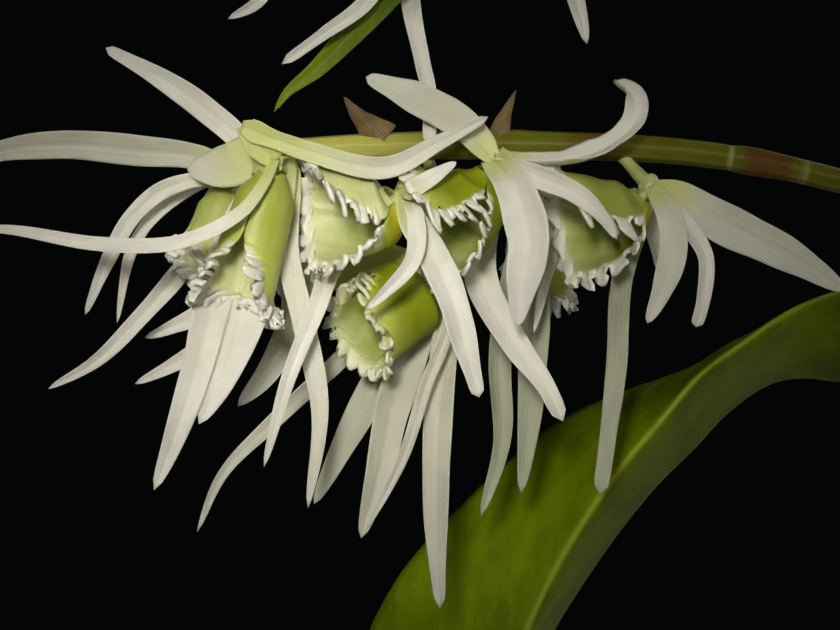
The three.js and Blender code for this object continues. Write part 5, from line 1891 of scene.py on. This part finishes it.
BLOOMS = (
    traced_bloom("a", (27.5, 16, -6), ((28.8, 15, -2.2), (28.3, 15.4, -4)),
        tongue((-0.3, -1, 0.1), 3.4, 2.6, (26.9, 18.6, -5.6), (26.1, 21.5, -5.5), (24.9, 25.5, -5.6),
               (23.4, 31, -5.8), tube=2.7, opens=(0.44, 0.78), waves=11, frill=0.85, band=2.5, puff=0.6,
               seed=1),
        petal(1.5, (26.3, 18.5, -9), (24, 21.3, -10.5), (18, 24.2, -11), (10, 24.4, -10.5), (0, 22.9, -10),
              (-5, 23.5, -9)),
        petal(3.7, (26.8, 17, -3), (22.5, 26, -2.2), (19.7, 37, -3), (17.2, 44.5, -4), (15.4, 49, -4.5),
              cup=0.24),
        petal(4.6, (28, 17, -2.8), (25.8, 27, -1.8), (22.6, 37, -2.4), (19.9, 42.4, -2.8), cup=0.24),
        petal(2.7, (26, 14.6, -6.5), (25, 13.3, -6.4), (24.6, 12.5, -6), fresh=1.5, blunt=0.8),
        petal(2.2, (24.2, 12.7, -6.6), (31, 15.2, -8), (38.5, 16.8, -8.3), (44, 14.2, -7.8),
              (48.8, 11.7, -7.4), loose=True, fresh=0.5, base=1.2, nose=0.05, blunt=0.42, dim=0.3),
        petal(4.8, (25.6, 15.5, -3.6), (23, 16.5, -2.8), (18.8, 16.9, -1), fresh=0.8, base=0.9, blunt=0.8,
              tip=0.5, cup=0.1, dim=0.35),
        petal(2.3, (29.2, 17.2, -2), (28.8, 25, -1.6), (30.3, 32, -2.6), (32, 41, -3), (30.8, 50.8, -3),
              dim=0.2)),
    traced_bloom("b", (40.5, 19, -5), ((41.5, 15.6, -2), (41.2, 17, -4)),
        tongue((-0.3, -0.85, -0.42), 4.7, 2.15, (38.9, 20.6, -4.4), (36.6, 21.3, -4.4), (34, 21.5, -4.6),
               (30.6, 21.6, -5), tube=3.5, opens=(0.12, 1.0), pale=0.8, puff=0.8, cream=0.15,
               spot=(0.08, -0.75), seed=2),
        petal(1.8, (41.6, 22, -8.5), (41.3, 26, -10), (38.4, 29.4, -9.5), (36.7, 30.9, -9)),
        petal(3.2, (41.2, 21.8, -6), (42.9, 24.8, -7.4), (45, 29.2, -8), (46.8, 35.5, -8), (47.9, 39.7, -7.5),
              blunt=0.4),
        petal(2, (39.8, 20.4, -1.4), (37, 22.5, 1.4), (33.5, 26.4, 0.5), (31.6, 31, -5.5), (28.8, 38, -7.8),
              (26.4, 46.7, -7.5)),
        petal(1.9, (41.4, 18.8, -9), (43.4, 17.6, -9.8), (45.6, 16.2, -9.2), fresh=0.6),
        petal(2.4, (38.8, 21.6, 3), (37.6, 22.8, 9), (36.5, 25, 16))),
    traced_bloom("c", (49.5, 16, -5), ((50.6, 16, -1.9), (50.2, 16, -3.5)),
        tongue((-0.15, -0.8, -0.6), 5.9, 2.5, (48.3, 18.6, -4.2), (46.6, 20.6, -4), (44.4, 22, -4),
               (41.6, 22.7, -4), tube=2.6, opens=(0.05, 0.95), waves=9, frill=0.45, flare=0.6, cream=-0.15,
               seed=3),
        petal(3.5, (46.5, 12.6, -4.8), (42, 10, -5.2), (36.6, 7.7, -5.5), base=0.4, blunt=0.3, dim=0.5),
        petal(4.2, (51.3, 18.5, -8.6), (52.8, 24, -9.6), (52.2, 28.5, -9.2), (51.7, 32.6, -8.5), lilac=0.5),
        petal(2.8, (53, 16.2, -5.4), (56, 16.2, -6), (60, 15.2, -6.5), (63.2, 12.6, -6), (63.2, 9.7, -5),
              (61.4, 8.1, -4.5), faces=(0, -0.5, 1), spin=-0.25, blunt=0.8),
        petal(2.2, (53.5, 17.6, -8.8), (57.5, 19.3, -10), (60, 21.4, -10), (61.7, 23.9, -9.5)),
        petal(3.5, (49.6, 16.6, -1), (48.6, 21, 2.6), (48, 27.4, 2.4), (51.4, 34.2, -2), (54.5, 38.5, -4.5),
              (56.3, 42.1, -5), blunt=0.48)),
    traced_bloom("d", (65.2, 18.8, -4), ((62.4, 15.8, -0.1), (63.8, 17.4, -2.2)),
        tongue((-0.1, -0.68, -0.72), 5.4, 2.2, (63.6, 20.4, -3.6), (61.2, 21.6, -3.6), (58.6, 22.3, -3.8),
               (56, 22.8, -4), tube=2.5, opens=(0.0, 0.85), waves=6.5, cream=-0.25, pale=0.15,
               spot=(0.05, -0.75), seed=4),
        petal(4.1, (67.5, 19.5, -3.5), (72, 22.2, -4), (79, 25.6, -4), (84.5, 29, -3.5), base=0.4, cup=0.5,
              dim=0.35),
        petal(2.8, (66.9, 21.5, -6.6), (67.3, 25, -7), (66.2, 29, -6.6), (64.7, 32.3, -6), base=0.35,
              dim=0.3),
        petal(1.8, (68.4, 22.2, -5.6), (70.5, 25.6, -5.8), (70.3, 30, -5.5), (69.6, 32.7, -5), base=0.4,
              blunt=0.7),
        petal(2.2, (64.4, 21.5, 0), (62.2, 28, 1.6), (61.6, 37, 1), (60, 49.4, 0), blunt=0.72, dim=0.85),
        petal(2.2, (65.2, 21, 1), (66, 25, 6), (66.5, 28, 13))),
    traced_bloom("e", (43.2, 27.6, 3), ((43, 16.8, 1.2), (43.6, 19.5, 4), (43.6, 24, 4)),
        # This lip lies in the shade of tepals. Cream below 0 darkens its outside to olive, partly its own
        # colour and partly painted shade, and white at 0.42 greys its crisps as painted shade.
        tongue((-0.45, -0.2, 0.85), 4.0, 2.7, (42.3, 28.8, 3), (40.4, 30.2, 2), (38.1, 32, 0.6),
               (35.7, 33.8, -1), tube=4.0, opens=(0.3, 0.95), flare=0.6, ring=0.75, frill=0.5, cream=-0.2,
               white=0.42, seed=5),
        petal(3.8, (43, 29, 5.8), (41, 35.5, 5.6), (39.2, 41, 4.5), (38, 47, 3.5), (36.1, 53.8, 2), dim=0.55),
        petal(1.4, (44.9, 29, 2.4), (44.6, 33.5, -0.4), (42.6, 38.5, -1), (40.4, 45.5, -1), (36.6, 53, -1),
              dim=0.4),
        petal(3, (44.8, 29.4, 4.2), (44.3, 36, 2.4), (43.7, 44, 1.6), (43.6, 53, 1.3), (44, 60.8, 1),
              blunt=0.36, dim=0.5),
        petal(3.3, (42.4, 29, 7), (38, 37.6, 8.2), (34.6, 44, 8), (31.4, 50.4, 7.5), dim=0.7),
        petal(5.2, (40.6, 27.3, 5), (36.4, 26.6, 5.6), (31, 28, 6), fresh=1.6, dim=0.3, blunt=0.6, cup=0.1),
        petal(1.8, (41.4, 28.6, 8), (34, 36, 11), (27, 42.5, 9.5), (22.3, 47.4, 8), (19.7, 53.2, 6),
              dim=0.45)),
    traced_bloom("f", (22.6, 18, 2), ((26.8, 16.6, 1), (24.8, 17.2, 1.5)),
        tongue((-0.9, -0.5, -0.2), 2.6, 2.1, (22.4, 19.6, 1.2), (21.8, 22, 0.8), (20.6, 25, 0.4),
               (19, 28, 0.2), tube=2.2, opens=(0.45, 0.9), cream=0.3, pale=0.2, puff=0.6, seed=6),
        petal(3.1, (20, 15.9, 2.6), (14, 15.1, 3), (6, 14.5, 2.6), (-1, 15.4, 1.5), (-5, 17.5, 0), base=1.3,
              fresh=0.14, dim=0.5),
        petal(2.6, (24.2, 14.6, 4.8), (20.6, 11, 5.6), (16, 7.8, 6.5), (10.6, 4.8, 7), base=1, blunt=0.4),
        petal(1.8, (19.5, 18, 0), (16, 19.2, -0.5), (13, 22, -0.5), (10.6, 26.5, 0), (8.5, 31.5, 1),
              fresh=0.14),
        petal(1.3, (20.2, 18.4, 3.9), (15.5, 21.5, 2.4), (13.2, 25, 2.2), (11.7, 32.3, 3), fresh=0.14),
        petal(2, (22.4, 18.8, 4.6), (21, 22.5, 5.4), (18.5, 26.6, 5.6), (14, 31.8, 5), (9.8, 36, 4.5),
              (4.8, 38.9, 3.5))),
    traced_bloom("g", (53.6, 19.4, 8), ((54, 15.2, 2.1), (54.2, 17, 5.5)),
        tongue((0, 1, 0.3), 2.8, 1.9, (53.6, 21.4, 12.2), (53.8, 25, 16), (54, 30, 18), seed=7, **FAR_LIP),
        petal(3.2, (53.8, 22.5, 6.4), (53.6, 27.5, 6), (53.3, 34, 5.5), (53, 41, 4.5), (52.1, 49.3, 3.5),
              dim=0.9),
        petal(2.5, (52.4, 22.5, 7.6), (51, 29, 8), (50, 36, 6.8), (50.2, 44, 5.6), (48.1, 51.6, 5), dim=0.9),
        petal(1.3, (55.5, 23, 5.5), (54.4, 28.5, 1.2), (53.4, 33.3, -0.5)),
        petal(2.4, (57.2, 19.8, 9.5), (60, 21.5, 16), (60.8, 25, 24)),
        petal(2.4, (50, 19.6, 9.5), (47.6, 21.4, 16), (46.6, 25, 24))),
    traced_bloom("h", (26.4, 19.4, 10), ((30, 15.6, 2.2), (28, 17, 7)),
        tongue((0, 1, 0.3), 2.8, 1.9, (26.4, 20.4, 14.8), (26.4, 23, 19.5), (26.6, 27.5, 22.5), seed=8,
               **FAR_LIP),
        petal(2.5, (25, 22.5, 9.6), (23.6, 27, 10.8), (20.5, 31, 11.2), (17, 32.8, 11.5), (14.5, 33.8, 11)),
        petal(2.5, (26.2, 23, 11), (25.6, 28, 13), (22, 33.5, 14), (17.5, 36.4, 13.6), (13.5, 38.4, 13)),
        petal(3.6, (27.8, 22.5, 10), (29.4, 27, 12.2), (29.6, 31.6, 13), (26.8, 37.2, 12.5),
              (23.8, 40.6, 11.5), dim=0.6, lilac=0.3),
        petal(2.4, (29.9, 19.4, 11.5), (32, 20.6, 20), (32.5, 24, 27)),
        petal(2.4, (23, 19.4, 11.5), (21, 20.6, 20), (19.8, 24.5, 26))),
    traced_bloom("upper_a", (34, -19.5, 8), ((34.6, -26.2, 9.3), (34.4, -23, 8.4)),
        tongue((-0.3, -1, 0), 2.7, 1.9, (33.8, -16.6, 5.6), (33.4, -12, 3), (32.8, -7.6, 2), seed=9,
               **FAR_LIP),
        petal(2.4, (31.4, -14.5, 9), (28.4, -5, 6), (25.8, 0.2, 5), (22.8, 1.9, 5)),
        petal(2.1, (38.6, -16.4, 7), (39.6, -6, 2), (36.8, 0, 0.2), (32.4, 3.4, 0), (28.2, 6.4, 0.4),
              blunt=0.5),
        petal(2.6, (30, -19, 9), (25, -13, 10.5), (22, -6, 12)),
        petal(2.4, (32.6, -17, 12.5), (31, -10, 17.5), (30, -2.5, 19)),
        petal(2.6, (36.8, -18, 11.5), (39, -16, 17), (40, -10, 21))),
    traced_bloom("upper_b", (43.5, -13, 8), ((46, -26.6, 9.6), (45, -20, 8.6)),
        tongue((0, -1, -0.5), 2.7, 1.9, (41.8, -12, 6), (39.6, -10.6, 4.4), (37.6, -9.8, 3.4), seed=10,
               **FAR_LIP),
        petal(1.9, (42, -8, 8.4), (41, -1, 5), (42.2, 6, 0.6), (43, 10, -2.8), (42.9, 14.6, -3), blunt=0.75),
        petal(2.4, (47, -12.4, 11.5), (50, -9, 16), (51.5, -3, 18.5)),
        petal(2.4, (44, -11, 12), (44.2, -6, 17), (44, -1.5, 21)),
        petal(2.4, (40.6, -13, 11.5), (37.6, -10, 15.5), (36.4, -4, 17.5)),
        petal(2.4, (46.6, -12, 6.6), (51, -9.4, 7), (52.6, -3, 9))),
    traced_bloom("upper_c", (55.6, -19, 9), ((56.4, -28.8, 9.8), (56, -24, 9.4)),
        tongue((-0.2, -1, 0), 2.7, 1.9, (54.9, -17, 5.8), (54.4, -12.4, 3.4), (54, -8, 3), seed=11,
               **FAR_LIP),
        petal(2.8, (56.8, -15, 10.6), (56.4, -6, 9.6), (58.7, 4.4, 8.5)),
        petal(2.6, (59, -17.6, 9), (62.4, -12, 10.5), (64, -3, 12)),
        petal(2.6, (56.4, -17, 13), (57.4, -12, 18), (57.6, -4, 21)),
        petal(2.6, (52.6, -18.6, 12), (49.6, -15.4, 17), (49, -8, 22)),
        petal(2.6, (58, -20, 5.8), (62, -17.4, 3), (66, -10.4, 3))),
)

HANGING_BLOOMS = (
    Hanging("rear_a", 0.985, 3, 7, (-0.6, 0.1, -1), 14),
    Hanging("rear_b", 0.89, -4, 7, (0.3, 0.5, -1), 33),
)


def grown_leaf(number: int, row: Row) -> Leaf:
    """A leaf that grows from a cane and arches out along a compass angle.

    Args:
        number: The leaf's number.
        row: Its cane, share, angle, length, rise and width.

    Returns:
        The leaf, whose midrib rises, arches over and sinks in shares of its length.
    """
    cane_number, share, angle, length, rise, width = row
    cane = CANES[int(cane_number) - 1]
    heading = np.radians(angle)
    out = np.array([np.cos(heading), np.sin(heading), 0])
    root = cane.path().at(share)[0] + out * (cane.radius_at(share) * 1.15 + GAP + 0.45)
    arch = [root + out * reach * length + UP * (rise + up) * length for reach, up in LEAF_ARCH]
    return Leaf(number, np.vstack([root, arch]), width)


# Studio


@dataclass(frozen=True)
class Lamp:
    """A soft light, in metres and watts: a square, or a round beam of a full angle that fades outward."""

    name: str
    place: Colour
    size: float
    power: float
    colour: Colour
    aim: Colour
    angle: float = 0.0

    def hang(self) -> None:
        """Makes the light at its place and turns it toward its aim."""
        light = bpy.data.lights.new(self.name, "SPOT" if self.angle else "AREA")
        light.energy, light.color = self.power, self.colour
        if self.angle:
            light.shadow_soft_size, light.spot_size, light.spot_blend = self.size, self.angle, 1.0
        else:
            light.size = self.size
        holder = bpy.data.objects.new(self.name, light)
        holder.location = self.place
        holder.rotation_euler = (Vector(self.aim) - Vector(self.place)).to_track_quat("-Z", "Y").to_euler()
        bpy.context.scene.collection.objects.link(holder)


BLOOMS_MIDDLE = (-0.127, -0.026, 0.312)
PLANT_MIDDLE = (0.05, 0.01, 0.13)
LAMPS = (
    Lamp("key", (-0.55, -0.75, 0.85), 0.4, 1.2, (1.0, 0.97, 0.9), BLOOMS_MIDDLE),
    Lamp("fill", (0.7, -0.85, 0.45), 0.8, 0.5, (0.97, 0.99, 1.0), BLOOMS_MIDDLE),
    Lamp("back", (0.5, 0.9, 0.8), 0.6, 1.7, (1.0, 1.0, 0.97), BLOOMS_MIDDLE),
    Lamp("bloom beam", (-0.15, -0.33, 0.365), 0.028, 4.2, (1.0, 0.97, 0.88), BLOOMS_MIDDLE, 0.235),
    Lamp("front beam", (0.5, -0.9, 0.7), 0.15, 50, (1.0, 0.98, 0.94), PLANT_MIDDLE, 0.34),
    Lamp("rear beam", (0.65, 0.85, 0.4), 0.15, 50, (1.0, 0.98, 0.94), PLANT_MIDDLE, 0.32),
)


@dataclass(frozen=True)
class Studio:
    """A pale round floor, a dark room, and the camera at the photograph's place, in metres."""

    floor_radius: float = 1.6
    floor_thick: float = 0.004
    floor_colour: Colour = (0.62, 0.61, 0.59)
    lens: float = 135.0
    sensor: float = 36.0
    eye: Colour = (-0.118, -0.340, 0.3085)
    room: Colour = (0.0012, 0.0016, 0.0016)

    def floor(self) -> None:
        """A pale disc under the pot."""
        radius = np.array([0.001, self.floor_radius, self.floor_radius, 0.001]) * PER_METRE
        height = np.array([-0.05, -0.05, -self.floor_thick * PER_METRE, -self.floor_thick * PER_METRE])
        skin = tube(turned(radius[:, None], height, around(96, 0)))
        mesh = bpy.data.meshes.new("floor")
        mesh.from_pydata((skin.points * METRES).tolist(), [], skin.quads.tolist())
        mesh.materials.append(Shader("pale floor").finish(self.floor_colour, 0.8))
        disc = bpy.data.objects.new("floor", mesh)
        bpy.context.scene.collection.objects.link(disc)

    def build(self) -> None:
        """Makes the floor, the room, the lights and the camera."""
        scene = bpy.context.scene
        self.floor()
        world = bpy.data.worlds.new("room")
        world.use_nodes = True
        world.node_tree.nodes["Background"].inputs["Color"].default_value = (*self.room, 1)
        scene.world = world
        for lamp in LAMPS:
            lamp.hang()
        camera = bpy.data.cameras.new("eye")
        camera.lens, camera.sensor_width, camera.clip_start = self.lens, self.sensor, 0.01
        holder = bpy.data.objects.new("eye", camera)
        holder.location, holder.rotation_euler = self.eye, (np.pi / 2, 0, 0)
        scene.collection.objects.link(holder)
        scene.camera = holder
        scene.view_settings.view_transform = "Standard"


def main() -> None:
    """Builds the pot and bed, the canes, the leaves, the blooms and the studio."""
    logging.basicConfig(level=logging.INFO, format="%(message)s")
    bark, paper = BarkFinish().dress(), PaperFinish().dress()
    ClayPot().build(ClayFinish().dress())
    BarkBed().build(bark, RootFinish().dress(), MossFinish().dress())
    cane_finish = CaneFinish().dress()
    for cane in CANES:
        cane.build((cane_finish, paper))
    green = LeafFinish().dress()
    BIG_LEAF.build(green)
    for leaf in TRACED_LEAVES:
        leaf.build(green)
    for k, row in enumerate(GROWN_LEAVES):
        grown_leaf(k + 4, row).build(green)
    finishes = (TepalFinish().dress(), ColumnFinish().dress())
    lip_finish = LipFinish().dress()
    blooms = [*BLOOMS, *(hanging.bloom(CANES[5]) for hanging in HANGING_BLOOMS)]
    for k, bloom in enumerate(blooms):
        bloom.build(finishes, lip_finish, k + 1)
    Studio().build()


if __name__ == "__main__":
    main()
